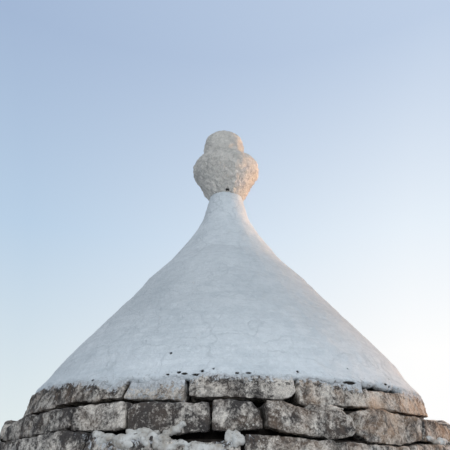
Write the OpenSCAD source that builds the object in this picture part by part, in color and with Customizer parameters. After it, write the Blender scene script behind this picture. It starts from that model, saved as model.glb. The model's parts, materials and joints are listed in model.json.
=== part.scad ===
// Trullo house: a round dry-stone drum, two courses of large eaves stones, a corbelled
// dome under a limewashed cone, and a pinnacle of a bowl and a round cap stone.
// The origin is on the ground at the axis of the drum, and the doorway faces +X.

/* [Drum wall] */
// Radius of the room
room_r = 1300; // [1100:10:1600]
// Thickness of the wall at its head
wall_head_t = 710; // [680:5:800]
// How far the foot of the wall stands out past its head
wall_batter = 140; // [60:5:260]
// Height of the wall, up to the underside of the lintels
wall_h = 1900; // [1700:10:2200]
// Height of the floor above the ground
floor_h = 100; // [60:5:160]
// Number of stone courses in the wall
wall_courses = 9; // [8:1:10]
// How the courses lessen in height towards the wall's head, where 1 keeps them equal
course_lessening = 0.94; // [0.88:0.01:1]
// Number of wall stones across one side of the house
wall_stones = 3; // [2:1:4]
// How far an upright joint strays from its even place, as a part of a stone's length
joint_stray = 0.2; // [0:0.01:0.25]
// Width of the open joints between the stones
joint_gap = 14; // [8:1:18]
// Depth of the open joints behind the stones' faces
joint_d = 55; // [30:5:70]

/* [Eaves courses] */
// How far the lower course is set back from the wall's head
lower_course_set = 45; // [10:5:80]
// Height of the lower course, and of the lintels in it
lower_course_h = 208; // [160:2:240]
// Width of the worn slope along the top outer edge of the lower course
edge_wear_w = 60; // [20:5:90]
// Height of that worn slope
edge_wear_h = 40; // [15:5:70]
// How far the upper course is set back from the lower one
upper_course_set = 165; // [110:5:180]
// Height of the upper course
upper_course_h = 152; // [130:2:190]
// How far the cone's foot is set back from the foot of the upper course
eaves_set = 28; // [10:2:50]
// Number of lower stones across one side of the house, away from the front
lower_stones = 3; // [2:1:4]
// Number of upper stones across one side of the house, away from the front
upper_stones = 2; // [2:1:3]

/* [Doorway] */
// Clear width between the jamb stones
door_w = 800; // [700:10:900]
// Width of a jamb stone across its face
jamb_w = 160; // [120:10:200]
// Depth of the passage behind the jamb stones, from the round of the room
passage_d = 350; // [300:10:400]
// How far the jamb stones stand out of the round wall
jamb_proud = 15; // [5:5:25]
// How far the lintels run on past the jamb stones at each end
lintel_bearing = 60; // [40:5:90]
// How far the flat face of the lintel is set back from the round of the lower course
lintel_set = 35; // [15:5:60]
// How far the outer lintel runs on behind the jamb stones
lintel_tail = 50; // [20:5:90]
// Height of the threshold above the floor
threshold_rise = 30; // [10:5:60]

/* [Timber door] */
// Width of a frame post
frame_w = 55; // [45:5:70]
// Depth of the frame
frame_d = 60; // [50:5:80]
// How far the closed leaf laps over each frame post
leaf_lap = 20; // [10:1:30]
// Thickness of the leaf's planks
leaf_t = 32; // [24:2:36]
// Number of planks in the leaf
planks = 5; // [3:1:7]
// Width of the grooves between the planks
plank_gap = 3; // [2:1:5]
// Depth of those grooves
plank_gap_d = 8; // [4:1:12]
// Gap between the leaf and the lintel
leaf_head_gap = 48; // [40:2:54]
// Gap between the floor and the leaf
leaf_floor_gap = 12; // [8:1:20]
// Gap between the open leaf's hinges and the side of the doorway
leaf_side_gap = 13; // [8:1:20]
// Width of the three ledges that hold the planks
ledge_w = 110; // [80:5:140]
// Thickness of a ledge
ledge_t = 24; // [18:2:26]
// Length of a strap hinge
strap_l = 520; // [400:10:600]
// Width of a strap hinge
strap_w = 42; // [30:2:50]
// Thickness of a strap hinge
strap_t = 5; // [4:0.5:7]
// Radius of a hinge knuckle
knuckle_r = 9; // [8:0.5:11]

/* [Corbelled dome] */
// Number of corbelled rings
ring_count = 13; // [11:1:13]
// Height of a ring
ring_h = 125; // [110:1:128]
// Length of the ring stones from their face to their back
ring_depth = 280; // [220:10:310]
// Radius of the eye that the cap slab closes
eye_r = 200; // [150:10:230]
// Fullness of the dome, where 1 is a straight cone
dome_bow = 1.25; // [1.15:0.01:1.3]
// Thickness of the cap slab
cap_t = 90; // [60:5:120]
// Width of the upright joints between the blocks of a ring
joint_w = 4; // [2:1:8]

/* [Limewashed cone] */
// Slope of the cone at the eaves, in degrees
eaves_slope = 53.6; // [52:0.1:55]
// Length over which the eaves slope holds
eaves_pull = 795; // [700:5:850]
// Height of the neck's foot above the eaves
neck_rise = 2030; // [1980:10:2100]
// Radius of the neck's foot
neck_foot_r = 259; // [240:1:280]
// Slope of the cone where it meets the neck, in degrees
neck_slope = 69.5; // [66:0.1:72]
// Length over which the neck slope holds
neck_pull = 545; // [480:5:600]
// Height of the neck
neck_h = 275; // [220:5:320]
// Radius of the neck's head
neck_head_r = 192; // [170:1:215]

/* [Pinnacle] */
// Radius of the bowl's foot
bowl_foot_r = 200; // [190:1:220]
// Greatest radius of the bowl
bowl_r = 400; // [370:5:420]
// Height of the bowl
bowl_h = 515; // [470:5:550]
// Height of the rounded rim of the bowl, from its widest place to the top
bowl_rim_h = 135; // [110:5:150]
// Width of the rounded rim
bowl_rim_w = 105; // [80:5:120]
// Greatest radius of the cap stone
ball_r = 253; // [235:1:270]
// Height of the cap stone
ball_h = 410; // [390:1:470]
// Height of the cap stone's widest place above the bowl
ball_belly_h = 200; // [150:5:230]
// Radius of the cap stone's foot
ball_foot_r = 224; // [215:1:235]
// Radius of the nearly flat top of the cap stone
ball_flat_r = 85; // [50:5:110]

/* [Hidden] */
// Room left between curved faces that lie against each other
seat = 0.3;
// How far a cutting solid passes the faces that it cuts
over = 5;
// Number of steps in a curved outline
curve_steps = 12;
// Plan angle of one side of the house
side_angle = 45;
// Names of the three parts of the dome, from its foot up
dome_parts = ["lower", "middle", "upper"];
// Heights of the ledges' middle lines, as parts of the leaf's height
ledge_places = [0.12, 0.5, 0.88];
// Angle at which the rounded rim of the bowl starts, below its widest place
rim_start_angle = -50;
// Upright joints that the front shows in the wall's top course, in degrees from the front
head_front_joints = [-59, -42.5, -25, -12, 2.5, 18.5, 35, 52, 63];
// Upright joints that the front shows in the lower eaves course
lower_front_joints = [-59, -42, -29.5, -17.5, -3, 6.5, 24, 42, 59];
// Upright joints that the front shows in the upper eaves course
upper_front_joints = [-67.5, -21, -8, 14.5, 31, 67.5];
// Polar angle of the front
front_angle = -90;
// First of the three sides that the front shows
first_front_side = 5;
// Fineness of the round forms
$fn = 256;

wall_head_r = room_r + wall_head_t;
wall_foot_r = wall_head_r + wall_batter;
lower_course_r = wall_head_r - lower_course_set;
upper_course_r = lower_course_r - upper_course_set;
eaves_r = upper_course_r - eaves_set;

lower_course_z = wall_h;
upper_course_z = lower_course_z + lower_course_h;
eaves_z = upper_course_z + upper_course_h;
dome_top_z = upper_course_z + ring_count * ring_h;
cap_top_z = dome_top_z + cap_t;
neck_foot_z = eaves_z + neck_rise;
bowl_z = neck_foot_z + neck_h;
ball_z = bowl_z + bowl_h;

jamb_back_x = room_r + passage_d;
lintel_face_x = lower_course_r - lintel_set;
lintel_joint_x = jamb_back_x - lintel_tail;
frame_x = jamb_back_x - frame_d;
lintel_l = door_w + 2 * (jamb_w + lintel_bearing);
leaf_w = door_w - 2 * (frame_w - leaf_lap);
leaf_z = floor_h + leaf_floor_gap;
leaf_h = wall_h - leaf_head_gap - leaf_z;
// The leaf stands open against the side of the doorway, with its ledges and hinges behind it
strap_y = door_w / 2 - leaf_side_gap - strap_t;
ledge_y = strap_y - ledge_t;
leaf_y = ledge_y - leaf_t;
pin_x = frame_x - knuckle_r - seat;
leaf_x = pin_x - leaf_w;
lintel_back_x = sqrt(pow(room_r, 2) - pow(door_w / 2, 2));

limewash = "#dde2ea";
eaves_stone = "#a0978b";
wall_stone = "#a89f92";
dome_stone = "#b3a994";
dressed_stone = "#b8ae9c";
floor_stone = "#9c9484";
timber = "#6f5a44";
iron = "#3c3835";

// The sides of the house, in turn from the doorway's side at +X towards +Y
SIDES = ["right", "back_right", "back", "back_left", "left", "front_left", "front", "front_right"];
last_side = len(SIDES) - 1;

// Clear radius of the dome at a height above its springing
function dome_r(h) =
    eye_r + (room_r - eye_r) * (1 - pow(h / (ring_count * ring_h), dome_bow));

// Inner radius of one dome ring, which overhangs the ring below it
function ring_in_r(i) = dome_r((i + 1) * ring_h);
function ring_out_r(i) = ring_in_r(i) + ring_depth;

// First dome ring of a third of the dome
function part_start(p) = floor(p * ring_count / len(dome_parts));

// Point of the cone's outline, from the eaves at t = 0 to the neck's foot at t = 1
function cone_point(t) =
    let (
        foot = [eaves_r, eaves_z],
        head = [neck_foot_r, neck_foot_z],
        foot_pull = foot + eaves_pull * [-cos(eaves_slope), sin(eaves_slope)],
        head_pull = head + neck_pull * [cos(neck_slope), -sin(neck_slope)],
        s = 1 - t
    )
    pow(s, 3) * foot + 3 * s * s * t * foot_pull + 3 * s * t * t * head_pull + pow(t, 3) * head;

// Place on that outline at a height, found by halving
function cone_place(z, low = 0, high = 1, halvings = 24) =
    let (middle = (low + high) / 2)
    halvings == 0 ? middle
    : cone_point(middle)[1] < z ? cone_place(z, middle, high, halvings - 1)
    : cone_place(z, low, middle, halvings - 1);

// Stretch of the outline between two places
function cone_outline(from, to) =
    [for (i = [0 : curve_steps]) cone_point(from + (to - from) * i / curve_steps)];

// Quarter-round or other arc of an ellipse about a centre
function oval_arc(centre, w, h, from, to) =
    [for (i = [0 : curve_steps])
        let (a = from + (to - from) * i / curve_steps)
        centre + [w * cos(a), h * sin(a)]];

// Radius of the wall's face at a height
function wall_face_r(z) = wall_foot_r - wall_batter * z / wall_h;

// Height of a bed joint of the wall, from the ground at 0 to the wall's head
function bed_z(i) = wall_h * pow(i / wall_courses, course_lessening);

// An open bed joint in the wall's face
function bed_groove(z) =
    let (low = z - joint_gap / 2, high = z + joint_gap / 2, back_r = wall_face_r(z) - joint_d)
    [[wall_face_r(low), low], [back_r, low], [back_r, high], [wall_face_r(high), high]];

// Upright joints of a course on one side of the house: every other course starts half a stone on,
// and a joint on the border of two sides keeps its even place
function even_joints(k, course, stones) =
    [for (j = [0 : stones - course % 2])
        let (
            number = (k * stones + j) % (stones * len(SIDES)),
            on_border = course % 2 == 0 && j % stones == 0,
            stray = on_border ? 0 : joint_stray * sin(137 * course + 71 * number)
        )
        (k - 0.5) * side_angle + (j + (course % 2) / 2 + stray) * side_angle / stones];

// The same, with the joints that the front shows on the sides that it shows
function course_joints(k, course, stones, front_joints) =
    k >= first_front_side && len(front_joints) > 0
    ? [for (a = front_joints)
        let (turned = (a + front_angle + 360) % 360)
        if (abs(turned - k * side_angle) < side_angle) turned]
    : even_joints(k, course, stones);

// Face of the jamb stones where the round wall has a given radius
function jamb_face_x(wall_r) =
    sqrt(pow(wall_r, 2) - pow((door_w + jamb_w) / 2, 2)) + jamb_proud;

// A whole side of the house, turned from the half-section given as its child
module side_of(k) {
    rotate([0, 0, (k - 0.5) * side_angle])
        rotate_extrude(angle = side_angle)
            children();
}

// The same, but the two sides beside the doorway run on to the door's middle line
module side_beside_door(k) {
    by_door = k == 1 || k == last_side;
    start = k == 1 ? 0 : (k - 0.5) * side_angle;
    span = by_door ? 1.5 * side_angle : side_angle;
    rotate([0, 0, start])
        rotate_extrude(angle = span)
            children();
}

module doorway_cut() {
    translate([0, -door_w / 2, -over])
        cube([wall_foot_r + over, door_w, wall_h + 2 * over]);
    translate([jamb_back_x, -door_w / 2 - jamb_w, -over])
        cube([wall_foot_r, door_w + 2 * jamb_w, wall_h + 2 * over]);
}

module lintel_cut() {
    translate([lintel_back_x, -lintel_l / 2, wall_h - over])
        cube([wall_foot_r, lintel_l, lower_course_h + 2 * over]);
}

// Cuts for the upright joints of a course, from behind the stones' faces outwards
module joint_cuts(angles, back_r, low, high) {
    for (a = angles)
        rotate([0, 0, a])
            translate([back_r, -joint_gap / 2, low])
                cube([wall_foot_r + over - back_r, joint_gap, high - low]);
}

module floor_slab() {
    color(floor_stone)
        union() {
            cylinder(r = room_r - seat, h = floor_h);
            translate([0, -door_w / 2 + seat, 0])
                cube([jamb_back_x, door_w - 2 * seat, floor_h]);
        }
}

module wall_side(k) {
    top = wall_courses - 1;
    color(wall_stone)
        difference() {
            side_beside_door(k)
                polygon(concat(
                    [[room_r, 0], [wall_foot_r, 0]],
                    [for (i = [1 : top]) each bed_groove(bed_z(i))],
                    [[wall_head_r, wall_h], [room_r, wall_h]]
                ));
            for (i = [0 : top])
                joint_cuts(
                    course_joints(k, i, wall_stones, i == top ? head_front_joints : []),
                    wall_face_r((bed_z(i) + bed_z(i + 1)) / 2) - joint_d,
                    i == 0 ? -over : bed_z(i),
                    i == top ? wall_h + over : bed_z(i + 1));
            if (k == 1 || k == last_side) doorway_cut();
        }
}

module threshold() {
    color(dressed_stone)
        translate([jamb_back_x, -door_w / 2, 0])
            cube([wall_foot_r - jamb_back_x, door_w, floor_h + threshold_rise]);
}

module door_jamb() {
    translate([0, jamb_w, 0])
        rotate([90, 0, 0])
            linear_extrude(jamb_w)
                polygon([
                    [jamb_back_x, 0],
                    [jamb_face_x(wall_foot_r), 0],
                    [jamb_face_x(wall_head_r), wall_h],
                    [jamb_back_x, wall_h]
                ]);
}

module door_jambs() {
    color(dressed_stone) {
        translate([0, door_w / 2, 0]) door_jamb();
        translate([0, -door_w / 2 - jamb_w, 0]) door_jamb();
    }
}

module lintel(from_x, to_x) {
    color(dressed_stone)
        translate([from_x, -lintel_l / 2, wall_h])
            cube([to_x - from_x, lintel_l, lower_course_h]);
}

module door_frame() {
    head_z = wall_h - frame_w;
    color(timber)
        translate([frame_x, 0, 0])
            union() {
                for (side = [-1, 1])
                    translate([0, side * (door_w - frame_w) / 2 - frame_w / 2, floor_h])
                        cube([frame_d, frame_w, wall_h - floor_h]);
                translate([0, -door_w / 2, head_z])
                    cube([frame_d, door_w, frame_w]);
            }
}

// Heights of the middle lines of the ledges and strap hinges
function ledge_heights() =
    [for (place = ledge_places) leaf_z + leaf_h * place];

module door_leaf() {
    color(timber)
        difference() {
            union() {
                translate([leaf_x, leaf_y, leaf_z])
                    cube([leaf_w, leaf_t, leaf_h]);
                for (z = ledge_heights())
                    translate([leaf_x + ledge_w / 2, ledge_y, z - ledge_w / 2])
                        cube([leaf_w - ledge_w, ledge_t, ledge_w]);
            }
            for (i = [1 : planks - 1])
                translate([leaf_x + leaf_w * i / planks - plank_gap / 2, leaf_y - over, leaf_z - over])
                    cube([plank_gap, plank_gap_d + over, leaf_h + 2 * over]);
        }
}

module door_hinges() {
    color(iron)
        for (z = ledge_heights())
            union() {
                translate([pin_x - strap_l, strap_y, z - strap_w / 2])
                    cube([strap_l, strap_t, strap_w]);
                translate([pin_x, strap_y + strap_t / 2, z - strap_w / 2])
                    cylinder(r = knuckle_r, h = strap_w);
            }
}

module lower_course(k) {
    top_z = upper_course_z;
    color(eaves_stone)
        difference() {
            side_beside_door(k)
                polygon([
                    [room_r, lower_course_z],
                    [lower_course_r, lower_course_z],
                    [lower_course_r, top_z - edge_wear_h],
                    [lower_course_r - edge_wear_w, top_z],
                    [room_r, top_z]
                ]);
            joint_cuts(course_joints(k, 1, lower_stones, lower_front_joints),
                lower_course_r - joint_d, lower_course_z - over, top_z + over);
            if (k == 1 || k == last_side) lintel_cut();
        }
}

module upper_course(k) {
    color(eaves_stone)
        difference() {
            side_of(k)
                polygon([
                    [ring_out_r(0) + seat, upper_course_z],
                    [upper_course_r, upper_course_z],
                    [eaves_r, eaves_z],
                    [ring_out_r(0) + seat, eaves_z]
                ]);
            joint_cuts(course_joints(k, 0, upper_stones, upper_front_joints),
                eaves_r - joint_d, upper_course_z - over, eaves_z + over);
        }
}

module dome_ring(i) {
    translate([0, 0, upper_course_z + i * ring_h])
        difference() {
            cylinder(r = ring_out_r(i), h = ring_h);
            translate([0, 0, -over])
                cylinder(r = ring_in_r(i), h = ring_h + 2 * over);
        }
}

// A third of the dome's rings, in blocks with an upright joint between the sides of the house
module dome_part(p) {
    first = part_start(p);
    last = part_start(p + 1) - 1;
    color(dome_stone)
        difference() {
            for (i = [first : last]) dome_ring(i);
            for (k = [0 : last_side])
                rotate([0, 0, (k + 0.5) * side_angle])
                    translate([0, -joint_w / 2, upper_course_z + first * ring_h - over])
                        cube([room_r + ring_depth, joint_w, (last - first + 1) * ring_h + 2 * over]);
        }
}

module dome_cap() {
    color(dome_stone)
        translate([0, 0, dome_top_z])
            cylinder(r = eye_r + ring_depth, h = cap_t);
}

module roof_side(k) {
    back_r = eye_r + ring_depth + seat;
    first_ring = ceil((eaves_z - upper_course_z) / ring_h);
    color(limewash)
        side_of(k)
            polygon(concat(
                [[dome_r(eaves_z - upper_course_z) + ring_depth + seat, eaves_z]],
                cone_outline(0, cone_place(cap_top_z)),
                [[back_r, cap_top_z], [back_r, dome_top_z]],
                [for (i = [ring_count - 1 : -1 : first_ring])
                    [dome_r(i * ring_h) + ring_depth + seat, upper_course_z + i * ring_h]]
            ));
}

module roof_peak() {
    color(limewash)
        rotate_extrude()
            polygon(concat(
                [[0, cap_top_z]],
                cone_outline(cone_place(cap_top_z), 1),
                [[neck_head_r, bowl_z], [0, bowl_z]]
            ));
}

module pinnacle_bowl() {
    rim_z = ball_z - bowl_rim_h;
    color(limewash)
        rotate_extrude()
            polygon(concat(
                [[0, bowl_z], [bowl_foot_r, bowl_z]],
                oval_arc([bowl_r - bowl_rim_w, rim_z], bowl_rim_w, bowl_rim_h, rim_start_angle, 90),
                [[0, ball_z]]
            ));
}

module pinnacle_ball() {
    belly_z = ball_z + ball_belly_h;
    cheek = ball_r - ball_foot_r;
    color(limewash)
        rotate_extrude()
            polygon(concat(
                [[0, ball_z]],
                oval_arc([ball_foot_r, belly_z], cheek, ball_belly_h, -90, 0),
                oval_arc([ball_flat_r, belly_z], ball_r - ball_flat_r, ball_h - ball_belly_h, 0, 90),
                [[0, ball_z + ball_h]]
            ));
}

floor_slab();  // floor
for (k = [1 : last_side])
    wall_side(k);
threshold();
door_jambs();
lintel(lintel_joint_x, lintel_face_x);  // outer_lintel
lintel(lintel_back_x, lintel_joint_x);  // inner_lintel
door_frame();
door_leaf();
door_hinges();
for (k = [1 : last_side])
    lower_course(k);
for (k = [0 : last_side])
    upper_course(k);
for (p = [0 : len(dome_parts) - 1])
    dome_part(p);
dome_cap();
for (k = [0 : last_side])
    roof_side(k);
roof_peak();
pinnacle_bowl();
pinnacle_ball();
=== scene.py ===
import json
import math
import random

import bmesh
import bpy
import numpy as np
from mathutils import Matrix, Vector

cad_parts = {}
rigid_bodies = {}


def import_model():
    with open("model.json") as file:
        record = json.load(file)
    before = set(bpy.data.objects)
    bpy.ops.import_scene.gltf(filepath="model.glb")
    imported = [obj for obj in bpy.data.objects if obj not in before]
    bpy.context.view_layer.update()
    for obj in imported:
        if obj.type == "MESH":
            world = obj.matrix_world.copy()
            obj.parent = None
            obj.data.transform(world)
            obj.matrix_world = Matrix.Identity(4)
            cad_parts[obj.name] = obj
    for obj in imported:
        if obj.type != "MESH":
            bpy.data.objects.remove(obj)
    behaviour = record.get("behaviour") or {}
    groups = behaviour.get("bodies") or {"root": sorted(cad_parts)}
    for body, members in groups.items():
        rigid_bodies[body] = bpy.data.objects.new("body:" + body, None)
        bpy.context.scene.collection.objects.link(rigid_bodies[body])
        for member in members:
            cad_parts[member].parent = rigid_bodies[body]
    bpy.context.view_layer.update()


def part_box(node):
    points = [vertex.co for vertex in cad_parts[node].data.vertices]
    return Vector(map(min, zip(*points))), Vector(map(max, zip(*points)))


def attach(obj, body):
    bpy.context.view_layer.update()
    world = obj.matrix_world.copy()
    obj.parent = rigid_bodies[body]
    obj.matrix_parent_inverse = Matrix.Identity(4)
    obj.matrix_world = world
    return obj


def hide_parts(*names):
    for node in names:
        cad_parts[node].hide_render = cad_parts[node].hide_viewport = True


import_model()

bl_info = {
    "name": "Trullo house",
    "version": (1, 0, 0),
    "blender": (4, 5, 0),
    "location": "3D View > Sidebar > Trullo",
    "description": "Limewashed cone, pinnacle, eaves stones, drum wall, dome and door of a trullo",
    "category": "Add Mesh",
}

SIDES = ("right", "back_right", "back", "back_left", "left", "front_left", "front", "front_right")
SIDE_ANGLE = 360 / len(SIDES)

# Sizes taken from the frame, so that each piece keeps the place of the solid that it dresses
WALL_LOW, WALL_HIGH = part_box("wall_front")
LOWER_LOW, LOWER_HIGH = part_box("lower_course_front")
UPPER_LOW, UPPER_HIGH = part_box("upper_course_front")
BOWL_LOW, BOWL_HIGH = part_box("pinnacle_bowl")
JAMB_LOW, JAMB_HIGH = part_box("door_jambs")
OUTER_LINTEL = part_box("outer_lintel")
ROOM_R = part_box("floor")[1].y
DOOR_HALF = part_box("threshold")[1].y
WALL_FOOT_R = -WALL_LOW.y
WALL_H = WALL_HIGH.z
LOWER_R = -LOWER_LOW.y
UPPER_R = -UPPER_LOW.y
EAVES_Z = UPPER_HIGH.z
JAMB_BACK = JAMB_LOW.x

# How far the drum wall and the upper eaves course lean in from foot to head
WALL_BATTER = 0.14
EAVES_BATTER = 0.028
WALL_HEAD_R = WALL_FOOT_R - WALL_BATTER
EAVES_R = UPPER_R - EAVES_BATTER
JAMB_HEAD_X = math.sqrt(WALL_HEAD_R ** 2 - ((JAMB_HIGH.y + DOOR_HALF) / 2) ** 2) + 0.015


def colour_setting(name, description, default):
    return bpy.props.FloatVectorProperty(name=name, description=description, default=default,
                                         min=0, max=1, subtype="COLOR", size=3)


def length_setting(name, description, default, low, high):
    return bpy.props.FloatProperty(name=name, description=description, default=default,
                                   min=low, max=high, unit="LENGTH")


class TrulloStones(bpy.types.PropertyGroup):
    voxel: length_setting("Grain of the hewing", "Size of the smallest chip on an eaves stone",
                          0.0105, 0.006, 0.03)
    joint: length_setting("Joint", "Usual width of a dry joint between two stones", 0.009, 0.002, 0.03)
    unevenness: length_setting("Unevenness", "Depth of the broad hollows in a stone's face", 0.022, 0.0, 0.06)
    stone_light: colour_setting("Light stone", "Colour of clean limestone", (0.595, 0.556, 0.497))
    stone_dark: colour_setting("Weathered stone", "Colour of limestone under dark lichen", (0.048, 0.044, 0.042))
    stone_warm: colour_setting("Warm stone", "Colour of the rust-tinted faces", (0.46, 0.31, 0.20))


class TrulloLimewash(bpy.types.PropertyGroup):
    coat: length_setting("Coat", "Thickness of the limewash where it laps over the stones", 0.005, 0.001, 0.04)
    ripple: length_setting("Ripple", "Height of the broad waves left by the trowel", 0.012, 0.0, 0.05)
    # The limewash colours are greyer and bluer than clean limewash: the bluish shade it lies in is painted into
    # them.
    wash: colour_setting("Limewash", "Colour of the limewash", (0.602, 0.645, 0.668))
    wash_worn: colour_setting("Worn limewash", "Colour of the limewash where it is thin or damp",
                              (0.475, 0.525, 0.553))
    # The pinnacle's two colours are copies of the limewash toned to the pinnacle's look: painted shade of the bowl
    # and the cap stone.
    pinnacle_shaded_wash: colour_setting("Pinnacle", "Colour of the older limewash on the pinnacle",
                                  (0.655, 0.630, 0.580))
    pinnacle_worn: colour_setting("Worn pinnacle", "Colour of the pinnacle where its limewash is thin",
                                  (0.475, 0.465, 0.430))


class TrulloDoor(bpy.types.PropertyGroup):
    planks: bpy.props.IntProperty(
        name="Planks", description="Number of upright planks in the leaf", default=5, min=3, max=8)
    timber: colour_setting("Timber", "Colour of the weathered timber", (0.17, 0.115, 0.072))


class TrulloStage(bpy.types.PropertyGroup):
    floor_colour: colour_setting("Floor", "Colour of the plain floor", (0.62, 0.65, 0.68))
    lens: bpy.props.FloatProperty(
        name="Lens", description="Focal length of the camera", default=38.4, min=20, max=120)
    tilt: bpy.props.FloatProperty(
        name="Tilt", description="Upward pitch of the camera", default=math.radians(27),
        subtype="ANGLE", unit="ROTATION")


# Plain helpers

def clear_selection():
    active = bpy.context.view_layer.objects.active
    if active is not None and active.mode != "OBJECT":
        bpy.ops.object.mode_set(mode="OBJECT")
    bpy.ops.object.select_all(action="DESELECT")


def pick(obj):
    clear_selection()
    obj.select_set(True)
    bpy.context.view_layer.objects.active = obj


def read_points(mesh):
    co = np.empty(len(mesh.vertices) * 3)
    mesh.vertices.foreach_get("co", co)
    return co.reshape(-1, 3)


def write_points(mesh, co):
    mesh.vertices.foreach_set("co", np.ascontiguousarray(co, dtype=np.float64).ravel())
    mesh.update()


def apply_modifier(obj, kind, name, **values):
    mod = obj.modifiers.new(name, kind)
    for key, value in values.items():
        setattr(mod, key, value)
    bpy.ops.object.modifier_apply(modifier=mod.name)


def roughen(obj, strength, name, kind, size, depth=2, mid=0.5, **values):
    """Pushes a surface in and out along its normals by a named texture."""
    texture = bpy.data.textures.get(name) or bpy.data.textures.new(name, kind)
    texture.noise_scale = size
    if hasattr(texture, "noise_depth"):
        texture.noise_depth = depth
    for key, value in values.items():
        setattr(texture, key, value)
    apply_modifier(obj, "DISPLACE", "roughen", texture=texture, strength=strength, mid_level=mid,
                   texture_coords="LOCAL", direction="NORMAL")


def keep_to(obj, budget):
    """Thins a mesh down to a number of triangles."""
    count = sum(len(p.vertices) - 2 for p in obj.data.polygons)
    if count > budget:
        apply_modifier(obj, "DECIMATE", "thinned", ratio=budget / count)


def empty_mesh():
    """An object in edit mode without any mesh yet."""
    clear_selection()
    bpy.ops.mesh.primitive_cube_add(size=0.01)
    bpy.ops.object.mode_set(mode="EDIT")
    bpy.ops.mesh.delete(type="VERT")
    return bpy.context.object


def leave_with_normals_out():
    bpy.ops.mesh.select_all(action="SELECT")
    bpy.ops.mesh.normals_make_consistent(inside=False)
    bpy.ops.object.mode_set(mode="OBJECT")


def join(objects):
    clear_selection()
    for obj in objects:
        obj.select_set(True)
    bpy.context.view_layer.objects.active = objects[0]
    bpy.ops.object.join()
    return objects[0]


def set_looks(obj, looks):
    """Writes tone, warmth, lichen and splashes of wash to the mesh, vertex by vertex."""
    attributes = obj.data.attributes
    stone = attributes.get("stone") or attributes.new("stone", "FLOAT_COLOR", "POINT")
    stone.data.foreach_set("color", np.ascontiguousarray(looks).ravel())


def angles_of(co):
    return np.degrees(np.arctan2(co[:, 0], -co[:, 1]))


def ripple(degrees, seed, waves):
    """Gentle waves round the ring, closed after a full turn."""
    a = np.radians(degrees)
    total = 0
    for i, (count, height) in enumerate(waves):
        total = total + height * np.sin(count * a + seed * (1.7 + i) + i)
    return total


def finish_piece(obj, name, replaced, angle=38):
    obj.name = name
    obj.data.name = name
    pick(obj)
    bpy.ops.object.shade_smooth_by_angle(angle=math.radians(angle))
    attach(obj, "root")
    if replaced:
        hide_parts(*replaced)
    clear_selection()


# Shader node helpers

class Nodes:
    """Adds and links nodes in one tree."""

    def __init__(self, tree):
        self.tree = tree

    def feed(self, node, values):
        """Links or sets inputs of a node, by name or number."""
        for key, value in values.items():
            if isinstance(value, bpy.types.NodeSocket):
                self.tree.links.new(value, node.inputs[key])
            else:
                node.inputs[key].default_value = value

    def add(self, kind, values=None, **settings):
        node = self.tree.nodes.new(kind)
        for key, value in settings.items():
            setattr(node, key, value)
        self.feed(node, values or {})
        return node

    def math(self, operation, a, b, clamp=False):
        return self.add("ShaderNodeMath", {0: a, 1: b}, operation=operation, use_clamp=clamp).outputs[0]

    def total(self, *terms):
        """Sum of terms, each a value or a value with its weight."""
        parts = [self.math("MULTIPLY", *term) if isinstance(term, tuple) else term for term in terms]
        whole = parts[0]
        for part in parts[1:]:
            whole = self.math("ADD", whole, part)
        return whole

    def vector(self, operation, a, b=(0, 0, 0)):
        return self.add("ShaderNodeVectorMath", {0: a, 1: b}, operation=operation).outputs[0]

    def scaled(self, a, scale):
        return self.add("ShaderNodeVectorMath", {0: a, "Scale": scale}, operation="SCALE").outputs[0]

    def split(self, vector):
        return self.add("ShaderNodeSeparateXYZ", {0: vector}).outputs

    def noise(self, vector, scale, detail=4.0, roughness=0.55, distortion=0.0):
        return self.add("ShaderNodeTexNoise", {
            "Vector": vector, "Scale": scale, "Detail": detail,
            "Roughness": roughness, "Distortion": distortion}).outputs["Fac"]

    def cells(self, vector, scale, feature="F1"):
        return self.add("ShaderNodeTexVoronoi", {"Vector": vector, "Scale": scale},
                        feature=feature).outputs["Distance"]

    def spread(self, value, low, high, out_low=0.0, out_high=1.0):
        return self.add("ShaderNodeMapRange", {
            "Value": value, "From Min": low, "From Max": high,
            "To Min": out_low, "To Max": out_high}).outputs["Result"]

    def mix(self, factor, a, b):
        return self.add("ShaderNodeMix", {0: factor, 6: a, 7: b}, data_type="RGBA").outputs[2]

    def mark(self, name):
        """A value or colour that the mesh carries."""
        return self.add("ShaderNodeAttribute", attribute_name=name, attribute_type="GEOMETRY").outputs


def rgba(colour):
    return (colour[0], colour[1], colour[2], 1.0)


def new_group(name, colours, numbers):
    """A node group that takes a place, colours and numbers, and gives a colour, a height and a roughness."""
    tree = bpy.data.node_groups.new(name, "ShaderNodeTree")
    tree.interface.new_socket("Place", in_out="INPUT", socket_type="NodeSocketVector")
    for kind, sockets in (("NodeSocketColor", colours), ("NodeSocketFloat", numbers)):
        for label, default in sockets.items():
            tree.interface.new_socket(label, in_out="INPUT", socket_type=kind).default_value = default
    for label, kind in (("Color", "NodeSocketColor"), ("Height", "NodeSocketFloat"),
                        ("Roughness", "NodeSocketFloat")):
        tree.interface.new_socket(label, in_out="OUTPUT", socket_type=kind)
    n = Nodes(tree)
    return n, n.add("NodeGroupInput").outputs, n.add("NodeGroupOutput")


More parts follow.
